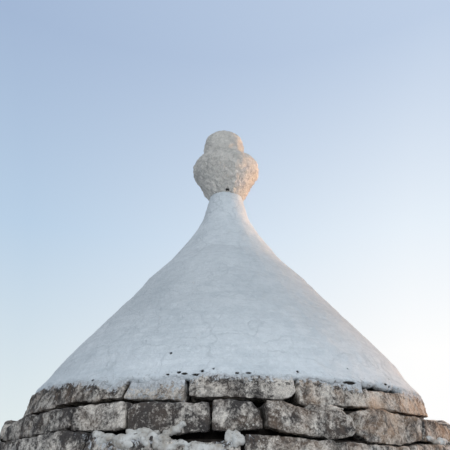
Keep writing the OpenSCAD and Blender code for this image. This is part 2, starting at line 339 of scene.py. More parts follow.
def limestone_group():
    """Weathered limestone: broad patches, mottling, pale and dark lichen, all at true scale."""
    name = "weathered_limestone"
    if name in bpy.data.node_groups:
        return bpy.data.node_groups[name]
    n, take, give = new_group(
        name, {"Light": (0.47, 0.43, 0.37, 1), "Dark": (0.12, 0.11, 0.1, 1), "Warm": (0.5, 0.34, 0.2, 1)},
        {"Tone": 0.5, "Warmth": 0.2, "Lichen": 0.5})
    place = take["Place"]
    patches = n.noise(place, 5.5, 5, 0.6, 0.6)
    mottle = n.noise(place, 24, 6, 0.62, 0.4)
    grain = n.noise(place, 120, 4, 0.6)
    crust = n.noise(place, 11, 8, 0.72, 1.2)
    blotches = n.noise(place, 62, 4, 0.65, 0.8)
    stains = n.noise(n.vector("MULTIPLY", place, (1, 1, 0.3)), 15, 4, 0.6, 0.3)
    grime = n.total(n.spread(patches, 0.34, 0.66, -0.15, 0.95), n.spread(mottle, 0.36, 0.66, -0.38, 0.37),
                    n.spread(blotches, 0.36, 0.64, -0.37, 0.36), n.spread(stains, 0.36, 0.64, -0.24, 0.24), 0.72)
    base = n.mix(n.math("SUBTRACT", grime, take["Tone"], True), take["Light"], take["Dark"])
    rust = n.spread(n.noise(place, 3.7, 4, 0.6, 1.0), 0.4, 0.7)
    base = n.mix(n.math("MULTIPLY", rust, take["Warmth"], True), base, take["Warm"])
    lichen = n.math("MULTIPLY", n.spread(crust, 0.5, 0.62), take["Lichen"], True)
    base = n.mix(lichen, base, take["Dark"])
    speck = n.math("MULTIPLY", n.spread(n.cells(place, 38), 0.16, 0.3, 1, 0),
                   n.spread(n.noise(place, 9, 3, 0.5), 0.5, 0.62), True)
    speck = n.math("MULTIPLY", speck, 0.7)
    base = n.mix(speck, base, (0.56, 0.55, 0.5, 1))
    # The fine grain also scales the colour, lighter where it stands up and darker in its low places: the stone's
    # own grain, and painted shade.
    n.feed(give, {"Color": n.scaled(base, n.spread(grain, 0.3, 0.7, 0.70, 1.28)),
                  "Height": n.total((mottle, 0.8), (grain, 0.3), (blotches, 0.7), (speck, 0.12), (lichen, -0.15)),
                  "Roughness": n.spread(mottle, 0.2, 0.8, 0.82, 0.98)})
    return n.tree


def brushed_wash_group():
    """Limewash laid on with a wide brush round the cone: streaks, clouds, thin places and pits, with painted shade
    in the pits and in the low places of the dabs.
    """
    name = "brushed_limewash"
    if name in bpy.data.node_groups:
        return bpy.data.node_groups[name]
    n, take, give = new_group(
        name, {"Wash": (0.6, 0.64, 0.69, 1), "Worn": (0.47, 0.52, 0.57, 1)},
        {"Rough": 0.5, "Grit": 0.4, "Pit Shade": 0.0, "Fade": 0.0, "Tint": 0.3, "Speckle Low": 2.2,
         "Speckle High": 2.34})
    place = take["Place"]
    x, y, z = n.split(place)
    flat = n.add("ShaderNodeCombineXYZ", {0: x, 1: y, 2: 0.0}).outputs[0]
    turn = n.scaled(n.vector("NORMALIZE", flat), 5.0)
    up = n.add("ShaderNodeCombineXYZ", {2: n.math("MULTIPLY", z, 26.0)}).outputs[0]
    strokes = n.noise(n.vector("ADD", turn, up), 1.0, 5, 0.6, 0.9)
    fine = n.noise(n.vector("ADD", n.scaled(turn, 3.0), n.scaled(up, 3.4)), 1.0, 3, 0.6, 0.5)
    clouds = n.noise(place, 2.3, 5, 0.55, 0.4)
    trowel = n.noise(place, 13, 5, 0.62, 1.0)
    grain = n.noise(place, 95, 3, 0.6)
    dabs = n.noise(place, 29, 5, 0.6, 1.6)
    worn = n.math("ADD", n.spread(clouds, 0.35, 0.68, 0.0, 0.6), n.spread(strokes, 0.35, 0.7, -0.2, 0.36))
    worn = n.math("ADD", worn, n.spread(trowel, 0.35, 0.7, -0.2, 0.3), True)
    colour = n.mix(worn, take["Wash"], take["Worn"])
    # The cone is a little darker at half its height
    fade = n.math("MULTIPLY", n.spread(z, 2.34, 2.95), n.spread(z, 3.2, 4.0, 1.0, 0.3))
    fade = n.math("MULTIPLY", fade, take["Fade"])
    colour = n.scaled(colour, n.math("SUBTRACT", 1.0, fade))
    # A band of dark specks just above the hem, which the height also presses in: moss, and painted shade of these
    # small holes.
    band = n.spread(z, take["Speckle Low"], take["Speckle High"], 1.0, 0.0)
    grime = n.math("MULTIPLY", n.spread(n.noise(place, 34, 6, 0.7, 0.6), 0.56, 0.62), band, True)
    colour = n.mix(n.math("MULTIPLY", grime, 0.75), colour, (0.16, 0.155, 0.14, 1))
    # Painted shade: the limewash is darker in the low places of the dabs and lighter on their tops.
    shade = n.math("ADD", 1.0, n.math("MULTIPLY", n.math("SUBTRACT", dabs, 0.5), take["Tint"]))
    colour = n.scaled(colour, shade)
    # Hair cracks run along the borders of large cells whose places are bent by noise
    bent = n.add("ShaderNodeTexNoise", {"Vector": place, "Scale": 6.0, "Detail": 3.0}).outputs["Color"]
    bent = n.vector("ADD", place, n.scaled(n.vector("SUBTRACT", bent, (0.5, 0.5, 0.5)), 0.22))
    crease = n.math("MULTIPLY", n.spread(n.cells(bent, 3.4, "DISTANCE_TO_EDGE"), 0.0, 0.045, 1.0, 0.0),
                    n.spread(n.noise(place, 3.6, 3, 0.55), 0.43, 0.56), True)
    # Along them the limewash is painted greyer and a little darker: worn wash, and painted shade of the creases.
    colour = n.mix(n.math("MULTIPLY", crease, 0.55), colour, take["Worn"])
    colour = n.mix(n.math("MULTIPLY", crease, 0.10), colour, (0.1, 0.1, 0.1, 1))
    # Painted shade: inside the pits and slots the limewash is painted near black.
    colour = n.mix(take["Pit Shade"], colour, (0.014, 0.012, 0.010, 1))
    height = n.total((strokes, 0.32), (fine, 0.14), (n.math("MULTIPLY", trowel, 0.8), take["Rough"]),
                     (dabs, take["Grit"]), (grain, 0.06), (crease, -0.20), (grime, -0.15))
    n.feed(give, {"Color": colour, "Height": height, "Roughness": n.spread(trowel, 0.2, 0.8, 0.78, 0.95)})
    return n.tree


def base_material(name):
    """A new material with its nodes, its shader and the place in the object's own coordinates."""
    material = bpy.data.materials.new(name)
    material.use_nodes = True
    material.node_tree.nodes.clear()
    n = Nodes(material.node_tree)
    shader = n.add("ShaderNodeBsdfPrincipled", {"Specular IOR Level": 0.25})
    n.add("ShaderNodeOutputMaterial", {0: shader.outputs[0]})
    return material, n, shader, n.add("ShaderNodeTexCoord").outputs["Object"]


def finish_shader(n, shader, colour, roughness, height, strength, distance):
    bump = n.add("ShaderNodeBump", {"Height": height, "Strength": strength, "Distance": distance})
    n.feed(shader, {"Base Color": colour, "Roughness": roughness, "Normal": bump.outputs[0]})


def stone_material(name, light, dark, warm, wash, strength):
    """Limestone whose tone, warmth, lichen and splashes of wash come from the mesh, stone by stone."""
    if name in bpy.data.materials:
        return bpy.data.materials[name]
    material, n, shader, place = base_material(name)
    stone = n.mark("stone")
    tone, warmth, lichen = n.add("ShaderNodeSeparateColor", {0: stone["Color"]}).outputs
    group = n.add("ShaderNodeGroup", {
        "Place": place, "Tone": tone, "Warmth": warmth, "Lichen": lichen, "Light": rgba(light),
        "Dark": rgba(dark), "Warm": rgba(warm)}, node_tree=limestone_group()).outputs
    colour = group["Color"]
    if wash is not None:
        amount = stone["Alpha"]
        splash = n.noise(place, 34, 6, 0.74, 0.5)
        cover = n.math("ADD", n.spread(splash, 0.32, 0.68), n.math("SUBTRACT", amount, 1.0))
        thin = n.noise(place, 75, 3, 0.6)
        worn_wash = n.mix(n.spread(thin, 0.35, 0.65), rgba(wash), rgba([c * 0.62 for c in wash]))
        # Just under the limewash's edge, where the splashes thin out, dark specks are painted: lichen, and painted
        # shade of the small cavities under the hem.
        near = n.math("MULTIPLY", n.spread(amount, 0.08, 0.18), n.spread(amount, 0.34, 0.42, 1.0, 0.0))
        hem = n.math("MULTIPLY", near, n.spread(n.noise(place, 40, 5, 0.7), 0.49, 0.57), True)
        colour = n.mix(n.math("MULTIPLY", hem, 0.8), colour, rgba([c * 0.5 for c in dark]))
        colour = n.mix(n.spread(cover, -0.08, 0.14), colour, worn_wash)
    finish_shader(n, shader, colour, group["Roughness"], group["Height"], strength, 0.012)
    return material


SPLASHES = (0.56, 0.59, 0.61)
# For each stone: shares of the light and the dark colour, the splashes of wash, strength of the relief
STONES = {
    "eaves_limestone": (1, 1, SPLASHES, 0.8),
    "wall_limestone": (1, 1, SPLASHES, 0.55),
    "dome_limestone": (1.12, 1.5, None, 0.5),
    "dressed_limestone": (1.18, 1.9, None, 0.4),
    "floor_flags": (1, 2.2, None, 0.4)}


def stone_for(name, props):
    pale, sooty, wash, strength = STONES[name]
    light = [min(1, c * pale) for c in props.stone_light]
    dark = [c * sooty for c in props.stone_dark]
    return stone_material(name, light, dark, props.stone_warm, wash, strength)


def wash_material(name, wash, worn, strength, values):
    material, n, shader, place = base_material(name)
    group = n.add("ShaderNodeGroup", {
        "Place": place, "Wash": rgba(wash), "Worn": rgba(worn), "Pit Shade": n.mark("pit_shade")["Fac"], **values},
        node_tree=brushed_wash_group()).outputs
    finish_shader(n, shader, group["Color"], group["Roughness"], group["Height"], strength, 0.014)
    return material


def core_material():
    """Earth and small rubble packed behind the stones, painted near black: dark earth, and painted deep shade."""
    name = "rubble_packing"
    if name in bpy.data.materials:
        return bpy.data.materials[name]
    material, n, shader, place = base_material(name)
    earth = n.noise(place, 40, 5, 0.6)
    mask = n.math("MULTIPLY", n.spread(n.cells(place, 22), 0.1, 0.5), earth)
    colour = n.mix(mask, (0.026, 0.021, 0.017, 1), (0.006, 0.005, 0.004, 1))
    finish_shader(n, shader, colour, 0.97, n.total(mask, (earth, 0.4)), 0.8, 0.02)
    return material


def mortar_material():
    material, n, shader, place = base_material("lime_mortar")
    lumps = n.noise(place, 34, 6, 0.74, 0.4)
    patches = n.noise(place, 12, 5, 0.66)
    # Pale and brown-grey patches and dark flecks on the lumps: partly the lime's own mixed colour, partly painted
    # highlight and shade.
    colour = n.mix(n.spread(patches, 0.42, 0.64), (0.56, 0.565, 0.545, 1), (0.34, 0.315, 0.275, 1))
    colour = n.mix(n.spread(lumps, 0.54, 0.66, 0.0, 0.75), colour, (0.12, 0.105, 0.09, 1))
    finish_shader(n, shader, colour, 0.95, lumps, 0.7, 0.012)
    return material


def timber_group():
    name = "weathered_timber"
    if name in bpy.data.node_groups:
        return bpy.data.node_groups[name]
    n, take, give = new_group(name, {"Timber": (0.2, 0.13, 0.08, 1)}, {})
    place = take["Place"]
    grain = n.noise(place, 95, 6, 0.65, 0.6)
    bands = n.noise(place, 22, 4, 0.55, 1.2)
    checks = n.math("MULTIPLY", n.spread(n.noise(place, 160, 3, 0.6), 0.60, 0.66), 0.8)
    silver = n.spread(n.noise(place, 9, 3, 0.5), 0.4, 0.7)
    colour = n.mix(n.spread(bands, 0.3, 0.7), take["Timber"], (0.31, 0.25, 0.19, 1))
    colour = n.mix(n.math("MULTIPLY", silver, 0.55), colour, (0.30, 0.285, 0.26, 1))
    colour = n.mix(checks, colour, (0.035, 0.026, 0.02, 1))
    n.feed(give, {"Color": n.scaled(colour, n.spread(grain, 0.25, 0.75, 0.72, 1.2)),
                  "Height": n.math("SUBTRACT", grain, checks),
                  "Roughness": n.spread(grain, 0.2, 0.8, 0.7, 0.92)})
    return n.tree


def timber_material(name, colour, axis):
    """Weathered oak with grain and checks along one axis."""
    material, n, shader, place = base_material(name)
    squeeze = [1, 1, 1]
    squeeze[axis] = 0.045
    group = n.add("ShaderNodeGroup", {
        "Place": n.vector("MULTIPLY", place, squeeze), "Timber": rgba(colour)}, node_tree=timber_group()).outputs
    finish_shader(n, shader, group["Color"], group["Roughness"], group["Height"], 0.5, 0.004)
    return material


def iron_material():
    name = "forged_iron"
    if name in bpy.data.materials:
        return bpy.data.materials[name]
    material, n, shader, place = base_material(name)
    rust = n.spread(n.noise(place, 18, 5, 0.65, 0.5), 0.48, 0.62)
    colour = n.mix(rust, (0.035, 0.032, 0.030, 1), (0.15, 0.06, 0.028, 1))
    n.feed(shader, {"Metallic": n.spread(rust, 0.0, 1.0, 0.85, 0.15)})
    finish_shader(n, shader, colour, n.spread(rust, 0.0, 1.0, 0.5, 0.85), n.noise(place, 60, 5, 0.65), 0.5, 0.002)
    return material


# Hewn stones, laid out on a bench as an unrolled course and then set round the ring

class Block:
    """One stone of a course: its outline (degrees round the ring, height), looks, set-back and turn."""

    def __init__(self, outline, looks, chips=2, back=0.0, turn=0.0, lean=0.0, depth=None, flat=1.0, cuts=()):
        self.outline, self.looks, self.chips, self.cuts = outline, looks, chips, cuts
        self.back, self.turn, self.lean, self.depth, self.flat = back, turn, lean, depth, flat
        angles, heights = zip(*outline)
        self.middle = (min(angles) + max(angles)) / 2
        self.half = (max(angles) - min(angles)) / 2
        self.floor = min(heights)
        self.ceiling = max(heights)


# Distance between the stones on the bench
BENCH_PITCH = 1.7
# How much the upper part of a stone's face is darkened: lichen, and painted shade of the small cavities along its
# top
TOP_LICHEN_AND_SHADE = 0.32


def hew(blocks, radius, depth, seed, fine, rough, budget):
    """Models a row of blocks on the bench: outline, thickness, chipped corners, worn edges, hewn face."""
    rnd = random.Random(seed)
    row = empty_mesh()
    scale = math.radians(1) * radius
    for i, block in enumerate(blocks):
        bench = i * BENCH_PITCH
        bpy.ops.mesh.primitive_circle_add(vertices=len(block.outline), radius=0.1, fill_type="NGON")
        shape = bmesh.from_edit_mesh(row.data)
        ring = [loop.vert for loop in next(f for f in shape.faces if f.select).loops]
        middle_z = (block.floor + block.ceiling) / 2
        for v, (degrees, height) in zip(ring, block.outline):
            x = (degrees - block.middle) * scale
            y = block.back + block.turn * x + block.lean * (height - middle_z)
            v.co = (bench + x, y, height)
        bmesh.update_edit_mesh(row.data)
        bpy.ops.mesh.extrude_region_move(TRANSFORM_OT_translate={"value": (0, block.depth or depth, 0)})
        # The back is smaller than the face
        bpy.ops.transform.resize(value=(0.93, 1, 0.86))
        half_wide = block.half * scale
        half_tall = (block.ceiling - block.floor) / 2
        planes = []
        for _ in range(block.chips):
            sx = rnd.choice((-1, 1))
            sz = rnd.choice((-1, 1))
            lean = Vector((sx * rnd.uniform(0.3, 1), -rnd.uniform(0.5, 1.1), sz * rnd.uniform(0.3, 1)))
            lean.normalize()
            corner = Vector((bench + sx * half_wide, block.back, middle_z + sz * half_tall))
            planes.append((corner - lean * rnd.uniform(0.012, 0.04), lean))
        for (dx, dy, dz), normal in block.cuts:
            planes.append((Vector((bench + dx * half_wide, block.back + dy, middle_z + dz * half_tall)),
                           Vector(normal).normalized()))
        for at, normal in planes:
            bpy.ops.mesh.select_linked()
            bpy.ops.mesh.bisect(plane_co=at, plane_no=normal, use_fill=True, clear_outer=True)
        bpy.ops.mesh.select_all(action="DESELECT")
    leave_with_normals_out()
    pick(row)
    if fine:
        apply_modifier(row, "REMESH", "hewn", mode="VOXEL", voxel_size=fine)
        apply_modifier(row, "SMOOTH", "worn", factor=0.5, iterations=1)
        roughen(row, rough, "stone_broad", "CLOUDS", 0.2)
        roughen(row, rough * 0.75, "stone_chipped", "VORONOI", 0.085, mid=0.4)
        roughen(row, rough * 0.75, "stone_grainy", "CLOUDS", 0.030, 3)
        keep_to(row, budget * len(blocks))
    else:
        apply_modifier(row, "BEVEL", "worn", width=0.012, segments=2, limit_method="ANGLE",
                       angle_limit=math.radians(35))
    return row


def lay(row, blocks, radius_at, facing=1):
    """Sets the stones of the bench round the ring, each stone's face turned outwards or inwards."""
    co = read_points(row.data)
    index = np.clip(np.floor((co[:, 0] + BENCH_PITCH / 2) / BENCH_PITCH).astype(int), 0, len(blocks) - 1)

    def per_stone(key):
        return np.array([getattr(block, key) for block in blocks], dtype=np.float64)[index]

    half = np.radians(per_stone("half"))
    angle = (co[:, 0] - index * BENCH_PITCH) / radius_at.bench
    reach = np.minimum(half, math.radians(9))
    share = np.clip(np.abs(angle) / np.maximum(half, 1e-6), 0, 1)
    radius = radius_at(co[:, 2])
    sag = per_stone("flat") * radius * (1 - np.cos(reach)) * (1 - share ** 2)
    r = radius - facing * (co[:, 1] + sag)
    theta = np.radians(per_stone("middle")) + angle
    write_points(row.data, np.stack([r * np.sin(theta), -r * np.cos(theta), co[:, 2]], axis=1))
    floor = per_stone("floor")
    rise = (co[:, 2] - floor) / (per_stone("ceiling") - floor)
    looks = per_stone("looks")
    # Lichen and painted shade: the upper part of each face is darkened.
    looks[:, 0] -= TOP_LICHEN_AND_SHADE * np.clip((rise - 0.62) / 0.3, 0, 1)
    set_looks(row, looks)
    return index


def lay_course(blocks, ring, depth, seed, fine, rough, budget, stone, facing=1):
    """Hews the stones of a course, lays them and gives them their stone."""
    row = hew(blocks, ring.bench, depth, seed, fine, rough, budget)
    index = lay(row, blocks, ring, facing)
    row.data.materials.append(stone)
    return row, index


class Ring:
    """Radius of the stones' faces at a height, and the radius at which the bench measures them."""

    def __init__(self, foot_z, foot_r, head_z, head_r):
        self.foot_z = foot_z
        self.foot_r = foot_r
        self.slope = (head_r - foot_r) / (head_z - foot_z)
        self.bench = (foot_r + head_r) / 2

    def __call__(self, z):
        return self.foot_r + self.slope * (z - self.foot_z)


def split_by_side(row, index, blocks, doorway=True):
    """Parts a ring of stones into the sides of the house, each stone whole in the side of its middle."""
    sides = {}
    for i, block in enumerate(blocks):
        polar = (block.middle - 90) % 360
        side = int(((polar + SIDE_ANGLE / 2) % 360) // SIDE_ANGLE)
        if doorway and side == 0:
            side = 1 if polar < 180 else len(SIDES) - 1
        sides.setdefault(SIDES[side], []).append(i)
    starts = np.empty(len(row.data.polygons), dtype=np.int32)
    row.data.polygons.foreach_get("loop_start", starts)
    corners = np.empty(len(row.data.loops), dtype=np.int32)
    row.data.loops.foreach_get("vertex_index", corners)
    owner = index[corners[starts]]
    pieces = {}
    for side, members in sides.items():
        pieces[side] = row.copy()
        pieces[side].data = row.data.copy()
        bpy.context.collection.objects.link(pieces[side])
        shape = bmesh.new()
        shape.from_mesh(pieces[side].data)
        gone = [f for f, kept in zip(shape.faces, np.isin(owner, members)) if not kept]
        bmesh.ops.delete(shape, geom=gone, context="FACES")
        shape.to_mesh(pieces[side].data)
        shape.free()
    bpy.data.objects.remove(row)
    return pieces


# Limewashed cone

CONE_EAVES_SLOPE = math.radians(53.6)
CONE_EAVES_PULL = 0.795
CONE_NECK_SLOPE = math.radians(69.5)
CONE_NECK_PULL = 0.545
NECK_FOOT = (0.259, 4.29)
NECK_HEAD = (0.192, BOWL_LOW.z)

# Height of the limewash's lower edge over the upper eaves stones, by angle from the front
WASH_EDGE = [
    (-180, 2.226), (-164, 2.246), (-150, 2.218), (-138, 2.240), (-121, 2.252), (-104, 2.222), (-90, 2.238),
    (-76, 2.262), (-66, 2.282), (-54, 2.279), (-48, 2.268), (-42, 2.265), (-37.5, 2.270), (-35, 2.252),
    (-33, 2.236), (-31, 2.252), (-28.5, 2.229), (-26.5, 2.206), (-24.8, 2.198), (-23, 2.206), (-21.3, 2.238),
    (-20, 2.226), (-17, 2.214), (-14, 2.222), (-11, 2.236), (-9, 2.230), (-7.8, 2.238), (-5, 2.250),
    (0, 2.251), (5, 2.252), (8.5, 2.247), (11.8, 2.240), (14.3, 2.238), (16, 2.246), (19, 2.248),
    (21.6, 2.238), (24, 2.230), (26, 2.217), (29, 2.214), (31, 2.216), (32, 2.230), (37, 2.231),
    (42, 2.233), (45, 2.234), (47, 2.216), (52, 2.222), (60, 2.226), (66, 2.222), (78, 2.244), (92, 2.226),
    (108, 2.212), (123, 2.240), (139, 2.228), (156, 2.252), (170, 2.234), (180, 2.226)]

# Pits and slots in the limewash: angle, height, half length, half height. Each is pressed in and painted near
# black inside: painted shade.
WASH_PITS = [
    (-13.4, 2.427, 0.010, 0.008), (-31.3, 2.262, 0.012, 0.008), (-12.4, 2.264, 0.014, 0.008),
    (-10.1, 2.276, 0.014, 0.009), (-8.8, 2.266, 0.024, 0.009), (-5.1, 2.283, 0.010, 0.008),
    (-2.8, 2.300, 0.007, 0.006), (-6.2, 2.258, 0.036, 0.008), (-3.5, 2.257, 0.032, 0.008),
    (2.2, 2.268, 0.016, 0.008), (4.6, 2.269, 0.022, 0.008), (15.4, 2.288, 0.010, 0.009),
    (29.8, 2.344, 0.008, 0.007), (27.9, 2.236, 0.062, 0.013),
    (39.7, 2.258, 0.022, 0.009), (43.7, 2.309, 0.010, 0.008), (41.3, 2.246, 0.012, 0.008),
    (-96, 2.30, 0.010, 0.008), (-141, 2.28, 0.020, 0.008), (158, 2.31, 0.010, 0.008), (117, 2.27, 0.018, 0.008),
    (104, 2.31, 0.008, 0.007), (-118, 2.33, 0.009, 0.007)]
# Over the stones' faces the pits are shallow, because the limewash is thin there
DEEP_PIT_Z = 2.272

# How deep the lower edge of the limewash runs into the stones, and over what height
HEM_SINK = 0.020
HEM_RISE = 0.036
# The skirt is drawn down to one height and then stretched to its ragged edge below the knee
SKIRT_Z = 2.20
KNEE_Z = 2.37


def cone_outline(t):
    """Point of the cone's outline, from the eaves at 0 to the foot of the neck at 1."""
    foot = np.array([EAVES_R, EAVES_Z])
    head = np.array(NECK_FOOT)
    pull = foot + CONE_EAVES_PULL * np.array([-math.cos(CONE_EAVES_SLOPE), math.sin(CONE_EAVES_SLOPE)])
    draw = head + CONE_NECK_PULL * np.array([math.cos(CONE_NECK_SLOPE), -math.sin(CONE_NECK_SLOPE)])
    s = 1 - t
    return s ** 3 * foot + 3 * s * s * t * pull + 3 * s * t * t * draw + t ** 3 * head


def face_radius(z):
    """Radius of the upper eaves stones' faces at a height."""
    return EAVES_R + (EAVES_Z - z) * (UPPER_R - EAVES_R) / (EAVES_Z - UPPER_LOW.z)


def turned_skin(points, steps):
    """A closed skin: an edge chain is drawn point by point by extruding and spun round the axis of the house."""
    clear_selection()
    bpy.ops.mesh.primitive_plane_add(size=0.1)
    obj = bpy.context.object
    bpy.ops.object.mode_set(mode="EDIT")
    bpy.ops.mesh.select_all(action="SELECT")
    bpy.ops.mesh.merge(type="CENTER")
    shape = bmesh.from_edit_mesh(obj.data)
    shape.verts.ensure_lookup_table()
    shape.verts[0].co = (points[0][0], 0, points[0][1])
    bmesh.update_edit_mesh(obj.data)
    for before, after in zip(points, points[1:]):
        step = (after[0] - before[0], 0, after[1] - before[1])
        bpy.ops.mesh.extrude_region_move(TRANSFORM_OT_translate={"value": step})
    bpy.ops.mesh.select_all(action="SELECT")
    bpy.ops.mesh.spin(steps=steps, angle=2 * math.pi, center=(0, 0, 0), axis=(0, 0, 1))
    bpy.ops.mesh.select_all(action="SELECT")
    bpy.ops.mesh.remove_doubles(threshold=0.0004)
    leave_with_normals_out()
    return obj


def evenly(points, step):
    """The same outline with its points about a step apart."""
    out = [points[0]]
    for a, b in zip(points, points[1:]):
        length = math.dist(a, b)
        count = max(1, round(length / step))
        for i in range(1, count + 1):
            out.append((a[0] + (b[0] - a[0]) * i / count, a[1] + (b[1] - a[1]) * i / count))
    return out


def wash_edge(degrees):
    angles, heights = zip(*WASH_EDGE)
    lumps = ripple(degrees, 2.0, ((37, 0.004), (61, 0.004), (97, 0.0035), (151, 0.003), (233, 0.002)))
    return np.interp(degrees, angles, heights) + lumps


def nearness(co, pits):
    """How far inside a pit each point lies: 1 at the pit's middle, 0 at its rim and beyond."""
    reach = np.hypot(co[:, 0], co[:, 1])
    angle = np.arctan2(co[:, 0], -co[:, 1])
    inside = np.zeros((len(pits), len(co)))
    for i, (degrees, height, half_l, half_h) in enumerate(pits):
        side = reach * (angle - math.radians(degrees)) / half_l
        inside[i] = np.clip(1 - np.hypot(side, (co[:, 2] - height) / half_h), 0, 1)
    return inside


# Pits are made outside this radius only, so that the pinnacle's flat underside stays whole
PIT_CLEAR_R = 0.18


def push_pits(obj, pits, depth):
    """Refines the skin round each pit and presses the pit in."""
    pick(obj)
    bpy.ops.object.mode_set(mode="EDIT")
    shape = bmesh.from_edit_mesh(obj.data)
    bpy.ops.mesh.select_all(action="DESELECT")
    bpy.ops.mesh.select_mode(type="FACE")
    for face in shape.faces:
        middle = face.calc_center_median()
        out = math.hypot(middle.x, middle.y)
        near = False
        if face.normal.z > -0.9 and out > PIT_CLEAR_R:
            for degrees, height, half_l, half_h in pits:
                if abs(middle.z - height) < half_h + 0.014:
                    side = out * math.radians(math.degrees(math.atan2(middle.x, -middle.y)) - degrees)
                    near = near or abs(side) < half_l + 0.014
        face.select_set(near)
    bmesh.update_edit_mesh(obj.data)
    bpy.ops.mesh.subdivide(number_cuts=4)
    bpy.ops.mesh.select_mode(type="VERT")
    bpy.ops.object.mode_set(mode="OBJECT")
    co = read_points(obj.data)
    out = np.hypot(co[:, 0], co[:, 1])
    inward = np.stack([-co[:, 0], -co[:, 1], np.zeros(len(co))], axis=1) / np.maximum(out, 1e-6)[:, None]
    for press, (_, height, _, _) in zip(nearness(co, pits), pits):
        deep = depth if height > DEEP_PIT_Z else depth * 0.25
        co += inward * (np.where(out > PIT_CLEAR_R, press, 0) ** 0.5 * deep)[:, None]
    write_points(obj.data, co)


def paint_pit_shade(obj, pits):
    """Marks the inside of the pits, which the limewash's material paints near black: painted shade."""
    co = read_points(obj.data)
    marks = np.clip(nearness(co, pits).max(axis=0, initial=0) * 4, 0, 1)
    marks[np.hypot(co[:, 0], co[:, 1]) < PIT_CLEAR_R] = 0
    obj.data.attributes.new("pit_shade", "FLOAT", "POINT").data.foreach_set("value", np.ascontiguousarray(marks))


def make_cone(wash):
    neck_r, neck_z = NECK_HEAD
    top = [(0.0, neck_z + 0.012), (0.16, neck_z + 0.012), (0.188, neck_z + 0.006),
           (neck_r + 0.004, neck_z - 0.012)]
    slope = [tuple(cone_outline(t)) for t in np.linspace(1, 0, 60)]
    outside = evenly(top + [NECK_FOOT] + slope[1:], 0.0185)
    skirt = [(face_radius(z) + wash.coat, z) for z in np.linspace(EAVES_Z - 0.01, SKIRT_Z, 6)]
    last = skirt[-1][0]
    inside = [(last - 0.008, SKIRT_Z - 0.008), (last - 0.030, SKIRT_Z - 0.010), (last - 0.060, SKIRT_Z + 0.02),
              (1.60, 2.244), (1.48, 2.25), (1.22, 2.86), (0.86, 3.42), (0.52, 3.80), (0.0, 3.80)]
    skin = turned_skin(outside + skirt + inside, 600)
    co = read_points(skin.data)
    degrees = angles_of(co)
    radius = np.hypot(co[:, 0], co[:, 1])
    edge = wash_edge(degrees)
    hem = (radius > 1.70) & (co[:, 2] < KNEE_Z)
    stretch = (KNEE_Z - edge) / (KNEE_Z - SKIRT_Z)
    new_z = np.where(hem, KNEE_Z + (co[:, 2] - KNEE_Z) * stretch, co[:, 2])
    # The skin follows the cone above the eaves and the stones' faces below them
    cone_r, cone_z = zip(*(cone_outline(t) for t in np.linspace(0, 0.12, 40)))
    over_face = face_radius(new_z) + wash.coat
    on_cone = np.interp(new_z, cone_z, cone_r) + wash.coat * np.clip((KNEE_Z - new_z) / (KNEE_Z - EAVES_Z), 0, 1)
    was = np.where(co[:, 2] > EAVES_Z - 0.005, np.interp(co[:, 2], cone_z, cone_r),
                   face_radius(co[:, 2]) + wash.coat)
    now = np.where(new_z > EAVES_Z, on_cone, over_face)
    now = now - HEM_SINK * np.clip((edge + HEM_RISE - new_z) / HEM_RISE, 0, 1.6) ** 1.5
    shift = np.where(hem, now - was, 0)
    scale = (radius + shift) / np.maximum(radius, 1e-6)
    co[:, 0] *= scale
    co[:, 1] *= scale
    co[:, 2] = new_z
    # The slope swells gently between the eaves and two thirds of its height
    whole_r, whole_z = zip(*(cone_outline(t) for t in np.linspace(0, 1, 120)))
    outer = radius > np.interp(co[:, 2], whole_z, whole_r) - 0.05
    belly = np.clip((co[:, 2] - 2.38) / 0.14, 0, 1) * np.clip((3.53 - co[:, 2]) / 0.24, 0, 1)
    belly = np.where(outer, belly * belly * (3 - 2 * belly), 0) * (0.025 + 0.009 * np.sin(np.radians(degrees)))
    reach = np.maximum(np.hypot(co[:, 0], co[:, 1]), 1e-6)
    co[:, :2] *= (1 + belly / reach)[:, None]
    write_points(skin.data, co)
    push_pits(skin, WASH_PITS, 0.024)
    pick(skin)
    roughen(skin, wash.ripple, "wash_broad", "CLOUDS", 0.42, 1)
    roughen(skin, wash.ripple * 0.85, "wash_lumpy", "CLOUDS", 0.13, 2)
    roughen(skin, wash.ripple * 0.72, "wash_fine", "CLOUDS", 0.045, 3)
    keep_to(skin, 165000)
    paint_pit_shade(skin, WASH_PITS)
    skin.data.materials.append(wash_material("limewash_cone", wash.wash, wash.wash_worn, 0.9, {
        "Rough": 0.62, "Grit": 0.70, "Fade": 0.16, "Tint": 0.30, "Speckle Low": 2.225, "Speckle High": 2.315}))
    finish_piece(skin, "limewashed_cone", [f"roof_{side}" for side in SIDES] + ["roof_peak"], 60)


# Pinnacle

def daub(obj, broad, daubs, grain, size, depth):
    """Roughens the limewash of a stone of the pinnacle."""
    roughen(obj, broad, "bowl_broad", "CLOUDS", 0.15, 1)
    roughen(obj, daubs, "bowl_daubs", "VORONOI", 0.06, mid=0.4)
    roughen(obj, grain, "bowl_grain", "CLOUDS", size, depth)


def pinnacle_wash(name, colours, strength, grit, dab_shade):
    return wash_material(name, *colours, strength, {
        "Rough": 0.5, "Grit": grit, "Fade": 0.0, "Tint": dab_shade, "Speckle Low": 0.0, "Speckle High": 0.1})


